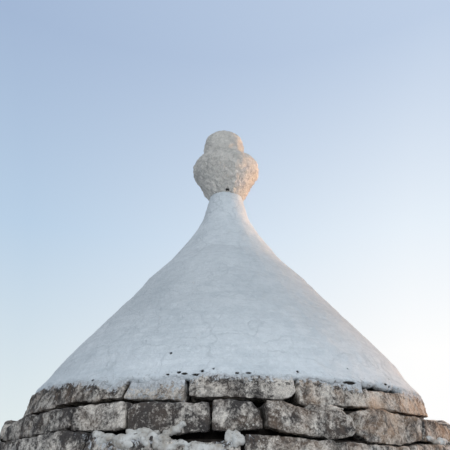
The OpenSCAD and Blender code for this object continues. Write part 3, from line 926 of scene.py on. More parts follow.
def make_bowl(colours):
    foot = BOWL_LOW.z
    lip = 0.135
    rim = BOWL_HIGH.z - lip
    arc = [(0.286 + 0.105 * math.cos(a), rim + lip * math.sin(a)) for a in np.radians(np.linspace(-50, 90, 22))]
    points = [(0.0, foot - 0.004), (0.19, foot - 0.004), (0.2, foot + 0.004)] + arc + [(0.0, BOWL_HIGH.z)]
    bowl = turned_skin(evenly(points, 0.013), 190)
    # A small hole at the bowl's foot, pressed in and painted near black inside: painted shade.
    hole = [(5.6, foot + 0.016, 0.024, 0.016)]
    push_pits(bowl, hole, 0.05)
    pick(bowl)
    daub(bowl, 0.034, 0.020, 0.028, 0.026, 3)
    paint_pit_shade(bowl, hole)
    bowl.data.materials.append(pinnacle_wash("limewash_bowl", colours, 1.0, 2.3, 1.1))
    finish_piece(bowl, "limewashed_bowl", ["pinnacle_bowl"], 60)


# The cap stone sits a little off the middle of the bowl
BALL_SHIFT = -0.024


def make_ball(colours):
    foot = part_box("pinnacle_ball")[0].z
    belly = foot + 0.215
    crown = 0.166
    lower = [(0.203 + 0.044 * math.cos(a), belly + 0.20 * math.sin(a))
             for a in np.radians(np.linspace(-90, 0, 14))]
    upper = [(0.247 * math.cos(a) ** 0.50, belly + crown * math.sin(a) ** 0.95)
             for a in np.radians(np.linspace(3, 89.9, 26))]
    points = [(0.0, foot - 0.02), (0.19, foot - 0.02)] + lower + upper + [(0.0, belly + crown)]
    ball = turned_skin(evenly(points, 0.013), 150)
    co = read_points(ball.data)
    co[:, 0] += BALL_SHIFT * np.clip((co[:, 2] - foot) / 0.1 + 0.6, 0, 1)
    write_points(ball.data, co)
    daub(ball, 0.022, 0.014, 0.020, 0.030, 2)
    paint_pit_shade(ball, [])
    # The cap stone's limewash is painted a little darker than the bowl's: painted shade.
    shaded_colours = [[0.94 * c for c in colour] for colour in colours]
    ball.data.materials.append(pinnacle_wash("limewash_ball", shaded_colours, 0.9, 1.9, 0.8))
    finish_piece(ball, "limewashed_cap_stone", ["pinnacle_ball"], 60)


# Courses of stones

# The upper eaves stones that the front shows, with their own outlines: degrees from the front, height
UPPER_FRONT = [
    Block([(-67.2, 2.096), (-53, 2.099), (-46, 2.103), (-39, 2.119), (-34, 2.130), (-30, 2.118), (-27, 2.127),
           (-22.3, 2.122), (-21.9, 2.171), (-21.2, 2.235), (-20.9, 2.262), (-40, 2.270), (-67.2, 2.266)],
          (0.44, 0.25, 0.85, 0.08), flat=0.2, turn=0.0),
    Block([(-21.9, 2.122), (-18, 2.117), (-12, 2.107), (-9.8, 2.092), (-8.5, 2.096), (-8.3, 2.180),
           (-8.6, 2.262), (-20.4, 2.262), (-20.7, 2.235), (-21.5, 2.171)],
          (0.82, 0.26, 0.40, 0.39), back=0.004),
    Block([(-7.7, 2.126), (-4.4, 2.116), (0, 2.120), (8, 2.110), (10.7, 2.104), (13.2, 2.127),
           (14.1, 2.157), (14.0, 2.262), (-7.7, 2.262)],
          (0.68, 0.10, 0.60, 0.06), back=-0.004),
    Block([(14.9, 2.086), (17, 2.064), (19.5, 2.080), (25, 2.082), (30.9, 2.080), (31.3, 2.140),
           (30.9, 2.255),
           (15.2, 2.258), (14.7, 2.170)],
          (0.80, 0.55, 0.75, 0.08)),
    Block([(31.3, 2.080), (41, 2.079), (51, 2.077), (58, 2.086), (67, 2.099), (67.2, 2.180), (66.8, 2.258),
           (47.5, 2.255), (46, 2.212), (40, 2.205), (34, 2.203), (31.6, 2.206), (31.7, 2.140)],
          (0.76, 0.90, 0.60, 0.05), flat=0.35)]

LOWER_FRONT = [
    Block([(-59, 1.903), (-50, 1.900), (-43.2, 1.910), (-43.0, 2.050), (-48, 2.052), (-52, 2.034),
           (-58.6, 1.986)],
          (0.46, 0.15, 0.65, 0), cuts=[((0, 0.0, 0.55), (-0.1, -0.8, 1.0))], back=0.012),
    Block([(-42, 1.920), (-37, 1.926), (-33, 1.938), (-29.8, 1.950), (-29.6, 2.076), (-36.5, 2.062),
           (-41.8, 2.040)],
          (0.33, 0.2, 0.6, 0), turn=-0.03),
    Block([(-29.2, 1.930), (-24, 1.929), (-18.2, 1.936), (-17.9, 2.000), (-18.1, 2.086), (-23.5, 2.084),
           (-29.3, 2.074)],
          (0.56, 0.14, 0.55, 0), back=-0.004),
    Block([(-17.4, 1.930), (-16.4, 1.899), (-13.5, 1.896), (-11.4, 1.892), (-10.2, 1.908), (-8.8, 1.898),
           (-6.9, 1.906),
           (-6, 1.914), (-3.2, 1.914), (-3.0, 1.980), (-3.2, 2.064), (-8.5, 2.068), (-12, 2.082),
           (-15, 2.078),
           (-17.5, 2.052)],
          (0.22, 0.12, 0.40, 0), chips=1, back=-0.006, cuts=[((0, 0.0, 0.80), (0, -0.35, 1.0))]),
    Block([(-2.6, 1.916), (2, 1.914), (6.1, 1.924), (6.3, 1.974), (5.3, 2.040), (4.3, 2.076), (-2.5, 2.088)],
          (0.33, 0.16, 0.60, 0), back=0.004),
    Block([(6.9, 1.934), (10, 1.912), (14.5, 1.887), (19.3, 1.875), (22.3, 1.898), (23.4, 1.935),
           (23.2, 2.000),
           (21.2, 2.037), (15, 2.030), (12, 2.052), (9.7, 2.072), (7.0, 2.086)],
          (0.60, 0.26, 0.60, 0), chips=1, turn=0.01),
    Block([(24, 1.914), (25.8, 1.868), (32.8, 1.852), (40.6, 1.880), (41.6, 1.940), (41.5, 2.016),
           (37, 2.030),
           (33.8, 2.045), (28.8, 2.054), (24.8, 2.036), (24, 1.980)],
          (0.56, 0.60, 0.85, 0), chips=1, back=-0.004, cuts=[((-0.93, -0.01, 0), (-1.0, -0.55, 0.0))]),
    Block([(42.2, 1.886), (50, 1.880), (58.8, 1.892), (59.2, 1.940), (58.8, 1.988), (52, 2.016),
           (42.6, 2.026)],
          (0.40, 0.85, 0.85, 0), cuts=[((-0.85, 0.0, 0), (-1.0, -0.5, 0.1))]),
    Block([(15.7, 2.036), (19, 2.036), (22.8, 2.048), (22.9, 2.060), (19, 2.070), (15.8, 2.064)],
          (0.80, 0.30, 0.10, 0), chips=0, back=0.060, depth=0.24)]

# Stones set back under the upper course, where the lower course is low
LOWER_PINS = [
    Block([(a, 1.99), (b, 1.99), (b, top), (a, top)], (0.4, 0.2, 0.5, 0), chips=0, back=0.185, depth=0.24)
    for a, b, top in ((43.5, 57, 2.072), (57.6, 71, 2.084), (-57, -43.5, 2.090), (-71, -57.6, 2.088))]

WALL_HEAD_FRONT = [
    Block([(-59, 1.712), (-51, 1.706), (-43, 1.712), (-42.9, 1.894), (-51, 1.892), (-58.8, 1.880)],
          (0.46, 0.15, 0.6, 0)),
    Block([(-42.2, 1.716), (-33, 1.710), (-25.4, 1.716), (-25.2, 1.916), (-31, 1.930), (-38, 1.902),
           (-42.1, 1.894)],
          (0.44, 0.12, 0.6, 0)),
    Block([(-24.8, 1.710), (-18, 1.716), (-12.2, 1.710), (-12, 1.888), (-16, 1.890), (-20.6, 1.892),
           (-24.6, 1.918)],
          (0.60, 0.10, 0.4, 0)),
    Block([(-11.6, 1.712), (-5, 1.708), (2.2, 1.712), (2.4, 1.876), (-1, 1.850), (-7, 1.850), (-11.4, 1.880)],
          (0.62, 0.10, 0.4, 0), back=0.004),
    Block([(2.9, 1.712), (10, 1.708), (18.2, 1.714), (18.3, 1.862), (10, 1.880), (3.0, 1.892)],
          (0.60, 0.22, 0.55, 0.05)),
    Block([(18.9, 1.712), (27, 1.706), (34.8, 1.712), (34.9, 1.838), (27, 1.846), (19, 1.862)],
          (0.64, 0.35, 0.45, 0)),
    Block([(35.5, 1.712), (43, 1.706), (51.6, 1.712), (51.8, 1.872), (43, 1.868), (35.4, 1.846)],
          (0.58, 0.45, 0.5, 0))]


def mixed_looks(rnd, wash=0.0):
    return (rnd.uniform(0.36, 0.72), rnd.uniform(0.05, 0.6) ** 1.4, rnd.uniform(0.25, 0.75), wash)


JOINT_STRAY = 0.2


def even_joints(course, stones):
    """Upright joints of a course all round, in degrees from the front, as the solids have them."""
    joints = []
    for number in range(stones * len(SIDES)):
        side, j = divmod(number, stones)
        on_border = course % 2 == 0 and j == 0
        stray = 0 if on_border else JOINT_STRAY * math.sin(math.radians(137 * course + 71 * number))
        joints.append((side - 0.5) * SIDE_ANGLE + (j + (course % 2) / 2 + stray) * SIDE_ANGLE / stones + 90)
    return joints


def course_ends(course, stones, start, stop, least=4.0):
    """Ends of the stones that fill a course from one angle to another, between its upright joints."""
    joints = sorted(a + turn for a in even_joints(course, stones) for turn in (0, 360))
    return [start] + [a for a in joints if start + least < a < stop - least] + [stop]


def shared_ends(rnd, start, stop, radius, widths):
    """Ends of stones of mixed lengths that fill a course from one angle to another."""
    count = max(1, round(math.radians(stop - start) * radius / (sum(widths) / 2)))
    shares = [rnd.uniform(*widths) for _ in range(count)]
    step = (stop - start) / sum(shares)
    ends = [start]
    for share in shares:
        ends.append(ends[-1] + share * step)
    return ends


def run_of_blocks(rnd, ends, low, high, radius, joint, chips=2, wash=0.0, jag=0.010, back=0.008):
    """Rough blocks that fill a course between their ends."""
    slants = [rnd.uniform(-1, 1) * math.degrees(0.016 / radius) for _ in ends]
    slants[0] = slants[-1] = 0.0
    gap = math.degrees(joint / 2 / radius)
    near = joint / 2
    blocks = []

    def jagged():
        return rnd.uniform(0, jag)

    for a, b, sa, sb in zip(ends, ends[1:], slants, slants[1:]):
        mid = (a + b) / 2 + rnd.uniform(-0.2, 0.2) * (b - a)
        outline = [
            (a + gap - sa, low(a) + near + jagged()),
            (mid, low(mid) + near + jagged() * 0.6),
            (b - gap - sb, low(b) + near + jagged()),
            (b - gap + sb * 0.2, (low(b) + high(b)) / 2 + rnd.uniform(-0.03, 0.03)),
            (b - gap + sb, high(b) - near - jagged()),
            (mid + rnd.uniform(-0.1, 0.1) * (b - a), high(mid) - near - jagged() * 0.6),
            (a + gap + sa, high(a) - near - jagged()),
            (a + gap - rnd.uniform(0, 0.4) * gap, (low(a) + high(a)) / 2 + rnd.uniform(-0.03, 0.03))]
        blocks.append(Block(outline, back=rnd.uniform(-0.5, 1) * back, turn=rnd.uniform(-0.04, 0.04),
                            lean=rnd.uniform(-0.05, 0.05), looks=mixed_looks(rnd, wash), chips=chips))
    return blocks


def level(z, seed, swing=0.008):
    """A bed joint at a height, gently wavy round the house."""
    def at(degrees):
        return z + float(ripple(degrees, seed, ((3, swing * 0.5), (7, swing * 0.6), (17, swing * 0.4))))
    return at


# Radius of the packing's inner face, behind the stones of the room
CORE_R = ROOM_R + 0.05


def make_core(k, door, outer_low, outer_high, low, high):
    """The packing of one side, between the outer and the inner stones, short of the doorway."""
    start = (k - 0.5) * SIDE_ANGLE
    stop = start + SIDE_ANGLE
    if k == 1:
        start = door
    elif k == len(SIDES) - 1:
        stop = 360 - door
    clear_selection()
    bpy.ops.mesh.primitive_plane_add(size=0.1)
    obj = bpy.context.object
    obj.data.materials.append(core_material())
    bpy.ops.object.mode_set(mode="EDIT")
    shape = bmesh.from_edit_mesh(obj.data)
    corners = [(CORE_R, low), (outer_low, low), (outer_high, high), (CORE_R, high)]
    a = math.radians(start)
    for loop, (r, z) in zip(next(iter(shape.faces)).loops, corners):
        loop.vert.co = (r * math.cos(a), r * math.sin(a), z)
    bmesh.update_edit_mesh(obj.data)
    bpy.ops.mesh.select_all(action="SELECT")
    # The spin operator turns clockwise for a positive angle
    bpy.ops.mesh.spin(steps=14, angle=-math.radians(stop - start), center=(0, 0, 0), axis=(0, 0, 1))
    leave_with_normals_out()
    return obj


def add_wash(piece, amount):
    """Adds to the splashes of wash on a mesh, by an amount that depends on angle and height."""
    co = read_points(piece.data)
    looks = np.empty(len(co) * 4)
    piece.data.attributes["stone"].data.foreach_get("color", looks)
    looks = looks.reshape(-1, 4)
    looks[:, 3] = np.clip(looks[:, 3] + amount(angles_of(co), co[:, 2]), 0, 1)
    set_looks(piece, looks)


def under_the_hem(degrees, z):
    """Wash that ran down the stones from the cone's lower edge."""
    near = (z - (wash_edge(degrees) - 0.055)) / 0.055
    return np.clip(near, 0, 1.5) ** 1.3 * 0.62


def round_the_mortar(degrees, z):
    """Lime smeared over the wall head's stones round the daubs at the front."""
    lower = 1.785 + ripple(degrees, 4.0, ((23, 0.016), (41, 0.014), (67, 0.012)))
    sideways = np.clip((degrees + 28) / 5, 0, 1) * np.clip((6 - degrees) / 5, 0, 1)
    return np.clip((z - lower) / 0.05, 0, 1) * sideways * 0.42


# Triangles for each stone, on average over its course
EAVES_BUDGET = 3200
WALL_HEAD_BUDGET = 2600
WALL_BUDGET = 900
ROUGH_BUDGET = 400


def make_upper_course(props, quick):
    ring = Ring(UPPER_LOW.z, UPPER_R, UPPER_HIGH.z, EAVES_R)
    blocks = UPPER_FRONT + run_of_blocks(
        random.Random(11), course_ends(0, 2, 67.5, 292.5), level(2.108, 3.0, 0.016), level(2.258, 1.0, 0.004),
        ring.bench, props.joint * 1.3, 2, 0.08)
    row, index = lay_course(blocks, ring, 0.30, 21, props.voxel * (2 if quick else 1), props.unevenness,
                            EAVES_BUDGET, stone_for("eaves_limestone", props))
    for side, piece in split_by_side(row, index, blocks, False).items():
        add_wash(piece, under_the_hem)
        finish_piece(piece, "upper_eaves_stones_" + side, ["upper_course_" + side])


def make_lower_course(props, quick):
    ring = Ring(LOWER_LOW.z, LOWER_R, LOWER_HIGH.z, LOWER_R - 0.006)
    rnd = random.Random(5)
    door = math.degrees(math.asin((OUTER_LINTEL[1].y + 0.01) / (LOWER_R - 0.02)))
    low = level(1.905, 5.0, 0.012)
    full = level(2.098, 3.0, 0.014)

    def high(degrees):
        """The course is lower towards the front, as the photograph shows it."""
        turned = abs((degrees + 180) % 360 - 180)
        return full(degrees) - 0.125 * float(np.clip((74 - turned) / 13, 0, 1))

    blocks = list(LOWER_FRONT)
    for ends in ([59.4, 90 - door], course_ends(1, 3, 90 + door, 300.8)):
        blocks += run_of_blocks(rnd, ends, low, high, ring.bench, props.joint)
    blocks += LOWER_PINS
    row, index = lay_course(blocks, ring, 0.40, 34, props.voxel * (2 if quick else 1), props.unevenness,
                            EAVES_BUDGET, stone_for("eaves_limestone", props))
    outer = split_by_side(row, index, blocks)
    inner = inner_stones(props, 1.905, 2.105, 7, 18.4)
    for k, side in enumerate(SIDES[1:], 1):
        core = make_core(k, 19.6, LOWER_R - 0.13, LOWER_R - 0.20, WALL_H - 0.03, LOWER_HIGH.z - 0.05)
        finish_piece(join([outer[side], inner[side], core]), "lower_eaves_stones_" + side,
                     ["lower_course_" + side])


def inner_stones(props, low, high, seed, door):
    """One course of the room's face, seen from inside."""
    ring = Ring(0, ROOM_R + 0.006, 1, ROOM_R + 0.006)
    rnd = random.Random(seed)
    ends = shared_ends(rnd, 90 + door, 450 - door, ring.bench, (0.28, 0.58))
    blocks = run_of_blocks(rnd, ends, level(low, seed, 0.006), level(high, seed + 1, 0.006),
                           ring.bench, props.joint * 1.4, 0)
    row, index = lay_course(blocks, ring, 0.17, seed, 0, 0, ROUGH_BUDGET, stone_for("wall_limestone", props), -1)
    return split_by_side(row, index, blocks)


WALL_COURSES = 9
WALL_STONES = 3
COURSE_LESSENING = 0.94
WALL_BEDS = [WALL_H * (i / WALL_COURSES) ** COURSE_LESSENING for i in range(WALL_COURSES + 1)]


def make_walls(props, quick):
    ring = Ring(0, WALL_FOOT_R, WALL_H, WALL_HEAD_R)
    gathered = {side: [] for side in SIDES}
    beds = [level(z, 2.3 * i, 0.010 if 0 < i < WALL_COURSES else 0.002) for i, z in enumerate(WALL_BEDS)]
    inner_door = math.degrees(math.asin((DOOR_HALF + 0.02) / (ROOM_R + 0.02)))
    for i in range(WALL_COURSES):
        rnd = random.Random(40 + i)
        door = math.degrees(math.asin((JAMB_HIGH.y + 0.006) / (float(ring(WALL_BEDS[i])) - 0.10)))
        top = i == WALL_COURSES - 1
        if top:
            blocks = list(WALL_HEAD_FRONT)
            for ends in ([52.2, 63, 90 - door], course_ends(i, WALL_STONES, 90 + door, 300.8)):
                blocks += run_of_blocks(rnd, ends, beds[i], beds[i + 1], ring.bench, props.joint)
        else:
            ends = course_ends(i, WALL_STONES, 90 + door, 450 - door)
            blocks = run_of_blocks(rnd, ends, beds[i], beds[i + 1], ring.bench, props.joint * 1.2)
        for block in blocks:
            if min(abs(a % 360 - edge) for a, _ in block.outline for edge in (90 - door, 90 + door)) < 1.5:
                block.chips = 0
        voxel = props.voxel * (1.1 if top else 1.7) * (1.6 if quick else 1)
        row, index = lay_course(blocks, ring, 0.26, 60 + i, voxel, props.unevenness,
                                WALL_HEAD_BUDGET if top else WALL_BUDGET, stone_for("wall_limestone", props))
        if top:
            add_wash(row, round_the_mortar)
        for side, piece in split_by_side(row, index, blocks).items():
            gathered[side].append(piece)
        for side, piece in inner_stones(props, WALL_BEDS[i], WALL_BEDS[i + 1], 90 + i, inner_door).items():
            gathered[side].append(piece)
    for k, side in enumerate(SIDES[1:], 1):
        core = make_core(k, 20.5, WALL_FOOT_R - 0.07, WALL_HEAD_R - 0.07, 0.002, WALL_H - 0.03)
        if k in (1, len(SIDES) - 1):
            gathered[side].append(reveal_stones(props, 1 if k == 1 else -1))
        finish_piece(join(gathered[side] + [core]), "drum_wall_" + side, ["wall_" + side])


# Squared and sawn pieces

DRESS_PITCH = 4.0


def dress(boxes, seed, fine, rough, worn, looks, budget=1400):
    """Squared blocks, each a cube stretched to its place, with worn edges and a pecked face.
    A box is (low corner, high corner), or has a third value: how far its top leans back in X."""
    rnd = random.Random(seed)
    obj = empty_mesh()
    for i, box in enumerate(boxes):
        low, high = Vector(box[0]), Vector(box[1])
        middle = (low + high) / 2
        bench = i * DRESS_PITCH
        bpy.ops.mesh.primitive_cube_add(size=1, location=middle + Vector((bench, 0, 0)), scale=high - low)
        if len(box) > 2:
            shape = bmesh.from_edit_mesh(obj.data)
            for v in shape.verts:
                if v.select and v.co.x > middle.x + bench and v.co.z > middle.z:
                    v.co.x -= box[2]
            bmesh.update_edit_mesh(obj.data)
        bpy.ops.mesh.select_all(action="DESELECT")
    bpy.ops.object.mode_set(mode="OBJECT")
    pick(obj)
    apply_modifier(obj, "BEVEL", "worn", width=worn, segments=2)
    if fine:
        apply_modifier(obj, "REMESH", "pecked", mode="VOXEL", voxel_size=fine)
        apply_modifier(obj, "SMOOTH", "eased", factor=0.5, iterations=3)
        roughen(obj, rough, "dressed_broad", "CLOUDS", 0.24)
        roughen(obj, rough * 0.5, "dressed_pecks", "CLOUDS", 0.035, 3)
        keep_to(obj, budget * len(boxes))
    co = read_points(obj.data)
    index = np.clip(np.floor(co[:, 0] / DRESS_PITCH).astype(int), 0, len(boxes) - 1)
    co[:, 0] -= index * DRESS_PITCH
    write_points(obj.data, co)
    set_looks(obj, np.array([[looks[0] + rnd.uniform(-0.08, 0.08), looks[1] * rnd.uniform(0.5, 1.5),
                              looks[2] * rnd.uniform(0.7, 1.3), 0.0] for _ in boxes])[index])
    return obj


def make_doorway_stones(props):
    stone = stone_for("dressed_limestone", props)

    def finish(obj, name, node):
        obj.data.materials.append(stone)
        finish_piece(obj, name, [node])

    front = JAMB_HIGH.x
    lean = (front - JAMB_HEAD_X) / WALL_H
    half_gap = 0.002
    boxes = []
    for near, far, joints in ((DOOR_HALF, JAMB_HIGH.y, (0.0, 0.60, 1.12, WALL_H)),
                              (-JAMB_HIGH.y, -DOOR_HALF, (0.0, 0.46, 1.20, WALL_H))):
        for low, high in zip(joints, joints[1:]):
            boxes.append(((JAMB_BACK, near, low + half_gap), (front - lean * low, far, high - half_gap),
                          lean * (high - low)))
    finish(dress(boxes, 3, 0.013, 0.012, 0.012, (0.70, 0.25, 0.35), 2200), "door_jamb_stones", "door_jambs")

    low, high = OUTER_LINTEL
    lintel = dress([(low, high)], 4, 0.012, 0.018, 0.016, (0.66, 0.2, 0.4), 4200)
    co = read_points(lintel.data)
    end = np.clip((np.abs(co[:, 1]) - high.y + 0.24) / 0.24, 0, 1)
    outward = np.clip((co[:, 0] - high.x + 0.34) / 0.28, 0, 1)
    co[:, 2] -= 0.095 * end * outward * np.clip((co[:, 2] - low.z) / (high.z - low.z), 0, 1)
    write_points(lintel.data, co)
    finish(lintel, "outer_lintel_stone", "outer_lintel")

    low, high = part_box("inner_lintel")
    finish(dress([(low, high)], 5, 0.014, 0.014, 0.014, (0.62, 0.2, 0.5), 2600), "inner_lintel_stone",
           "inner_lintel")

    low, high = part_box("threshold")
    step = dress([(low, high)], 6, 0.012, 0.008, 0.014, (0.74, 0.15, 0.2), 4200)
    co = read_points(step.data)
    trodden = np.clip(1 - (co[:, 1] / 0.33) ** 2, 0, 1) * np.clip((co[:, 2] - 0.06) / 0.06, 0, 1)
    co[:, 2] -= 0.016 * trodden
    write_points(step.data, co)
    finish(step, "threshold_stone", "threshold")


def reveal_stones(props, side):
    """Quoins of the passage between the room and the door frame, on one side of the doorway."""
    rnd = random.Random(70 + side)
    inner = math.sqrt(ROOM_R ** 2 - DOOR_HALF ** 2)
    far = DOOR_HALF + 0.20
    boxes = []
    for i, (low, high) in enumerate(zip(WALL_BEDS, WALL_BEDS[1:])):
        ends = (inner, JAMB_BACK) if i % 2 else (inner, inner + rnd.uniform(0.16, 0.24), JAMB_BACK)
        for a, b in zip(ends, ends[1:]):
            near = DOOR_HALF + rnd.uniform(-0.002, 0.006)
            ys = (near, far) if side > 0 else (-far, -near)
            boxes.append(((a + 0.003, ys[0], low + 0.005), (b - 0.003, ys[1], high - 0.005)))
    obj = dress(boxes, 80 + side, 0.016, 0.012, 0.012, (0.6, 0.2, 0.45), 700)
    obj.data.materials.append(stone_for("wall_limestone", props))
    return obj


# Door

def sawn(boxes, worn, cuts=5, warp=0.002):
    """Boards and beams: cubes stretched to their place, with eased edges and a slight warp."""
    obj = empty_mesh()
    for low, high in boxes:
        low, high = Vector(low), Vector(high)
        bpy.ops.mesh.primitive_cube_add(size=1, location=(low + high) / 2, scale=high - low)
        bpy.ops.mesh.select_all(action="DESELECT")
    bpy.ops.object.mode_set(mode="OBJECT")
    pick(obj)
    apply_modifier(obj, "BEVEL", "eased", width=worn, segments=2)
    longest = max(range(3), key=lambda k: max(b[1][k] - b[0][k] for b in boxes))
    low = min(b[0][longest] for b in boxes)
    high = max(b[1][longest] for b in boxes)
    normal = [int(k == longest) for k in range(3)]
    bpy.ops.object.mode_set(mode="EDIT")
    for i in range(1, cuts + 1):
        at = low + (high - low) * i / (cuts + 1)
        bpy.ops.mesh.select_all(action="SELECT")
        bpy.ops.mesh.bisect(plane_co=[at * part for part in normal], plane_no=normal)
    bpy.ops.object.mode_set(mode="OBJECT")
    roughen(obj, warp, "timber_warp", "CLOUDS", 0.16, 1)
    return obj


def make_door(props):
    upright = timber_material("timber_upright", props.timber, 2)
    level_grain = timber_material("timber_level", props.timber, 0)
    across = timber_material("timber_across", props.timber, 1)
    low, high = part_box("door_frame")
    width = 0.055
    head_z = high.z - 0.003
    posts = sawn([((low.x, low.y, low.z), (high.x, low.y + width, head_z)),
                  ((low.x, high.y - width, low.z), (high.x, high.y, head_z))], 0.005)
    posts.data.materials.append(upright)
    head = sawn([((low.x - 0.002, low.y + width - 0.01, high.z - width),
                  (high.x, high.y - width + 0.01, head_z))], 0.005)
    head.data.materials.append(across)
    finish_piece(join([posts, head]), "door_frame_timber", ["door_frame"], 30)

    low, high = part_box("door_leaf")
    face, back = low.y, low.y + 0.032
    board = (high.x - low.x) / props.planks
    rnd = random.Random(8)
    boards = []
    for i in range(props.planks):
        boards.append(((low.x + i * board + 0.0015, face + rnd.uniform(0, 0.002), low.z + rnd.uniform(0, 0.008)),
                       (low.x + (i + 1) * board - 0.0015, back, high.z - rnd.uniform(0, 0.006))))
    planks = sawn(boards, 0.003, 9, 0.003)
    planks.data.materials.append(upright)
    ledge_heights = [low.z + (high.z - low.z) * p for p in (0.12, 0.5, 0.88)]
    half = 0.055
    ledges = sawn([((low.x + half, back, z - half), (high.x - half, high.y, z + half)) for z in ledge_heights],
                  0.006)
    ledges.data.materials.append(level_grain)
    nails = [(low.x + (i + 0.5) * board + rnd.uniform(-0.02, 0.02), face - 0.001, z + dz)
             for z in ledge_heights for i in range(props.planks) for dz in (-0.03, 0.03)]
    leaf = join([planks, ledges, nail_heads(nails, 0.0065)])
    finish_piece(leaf, "door_leaf_planks", ["door_leaf"], 30)
    make_hinges(ledge_heights)


def nail_heads(places, radius):
    clear_selection()
    shape = {"segments": 8, "ring_count": 6, "radius": radius, "scale": (1, 0.45, 1)}
    bpy.ops.mesh.primitive_uv_sphere_add(location=places[0], **shape)
    obj = bpy.context.object
    bpy.ops.object.transform_apply()
    bpy.ops.object.mode_set(mode="EDIT")
    for place in places[1:]:
        bpy.ops.mesh.select_all(action="DESELECT")
        bpy.ops.mesh.primitive_uv_sphere_add(location=place, **shape)
    bpy.ops.object.mode_set(mode="OBJECT")
    obj.data.materials.append(iron_material())
    return obj


STRAP_TALL = 0.042
PIN_R = 0.009


def make_hinges(heights):
    low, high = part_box("door_hinges")
    pin_x = high.x - PIN_R
    pin_y = high.y - PIN_R
    long = pin_x - low.x
    iron = iron_material()
    parts = []
    nails = []
    for z in heights:
        clear_selection()
        bpy.ops.mesh.primitive_cube_add(size=1, location=((low.x + pin_x) / 2, pin_y, z),
                                        scale=(long, 0.005, STRAP_TALL))
        strap = bpy.context.object
        bpy.ops.object.transform_apply()
        bpy.ops.object.mode_set(mode="EDIT")
        for at in (0.04, 0.5):
            bpy.ops.mesh.select_all(action="SELECT")
            bpy.ops.mesh.bisect(plane_co=(low.x + long * at, 0, 0), plane_no=(1, 0, 0))
        # The strap narrows towards its pointed tip
        shape = bmesh.from_edit_mesh(strap.data)
        for v in shape.verts:
            share = (v.co.x - low.x) / long
            v.co.z = z + (v.co.z - z) * (0.25 if share < 0.01 else 0.62 + 0.38 * share)
        bmesh.update_edit_mesh(strap.data)
        bpy.ops.object.mode_set(mode="OBJECT")
        apply_modifier(strap, "BEVEL", "hammered", width=0.0012, segments=2)
        strap.data.materials.append(iron)
        parts.append(strap)
        for foot, head in ((0.0, 0.32), (0.34, 0.66), (0.68, 1.0)):
            middle = z - STRAP_TALL / 2 + STRAP_TALL * (foot + head) / 2
            bpy.ops.mesh.primitive_cylinder_add(vertices=20, radius=PIN_R, depth=(head - foot) * STRAP_TALL,
                                                location=(pin_x, pin_y, middle))
            knuckle = bpy.context.object
            bpy.ops.object.transform_apply()
            pick(knuckle)
            apply_modifier(knuckle, "BEVEL", "eased", width=0.001, segments=2)
            knuckle.data.materials.append(iron)
            parts.append(knuckle)
        nails += [(low.x + long * share, pin_y + 0.0025, z) for share in (0.1, 0.35, 0.6, 0.85)]
    parts.append(nail_heads(nails, 0.0055))
    finish_piece(join(parts), "strap_hinges", ["door_hinges"], 40)


# Floor and dome

# Joints between the rows of flags, in Y
FLAG_ROWS = (-1.31, -0.93, -0.56, -0.17, 0.24, 0.60, 0.97, 1.31)
BED_TOP = 0.084


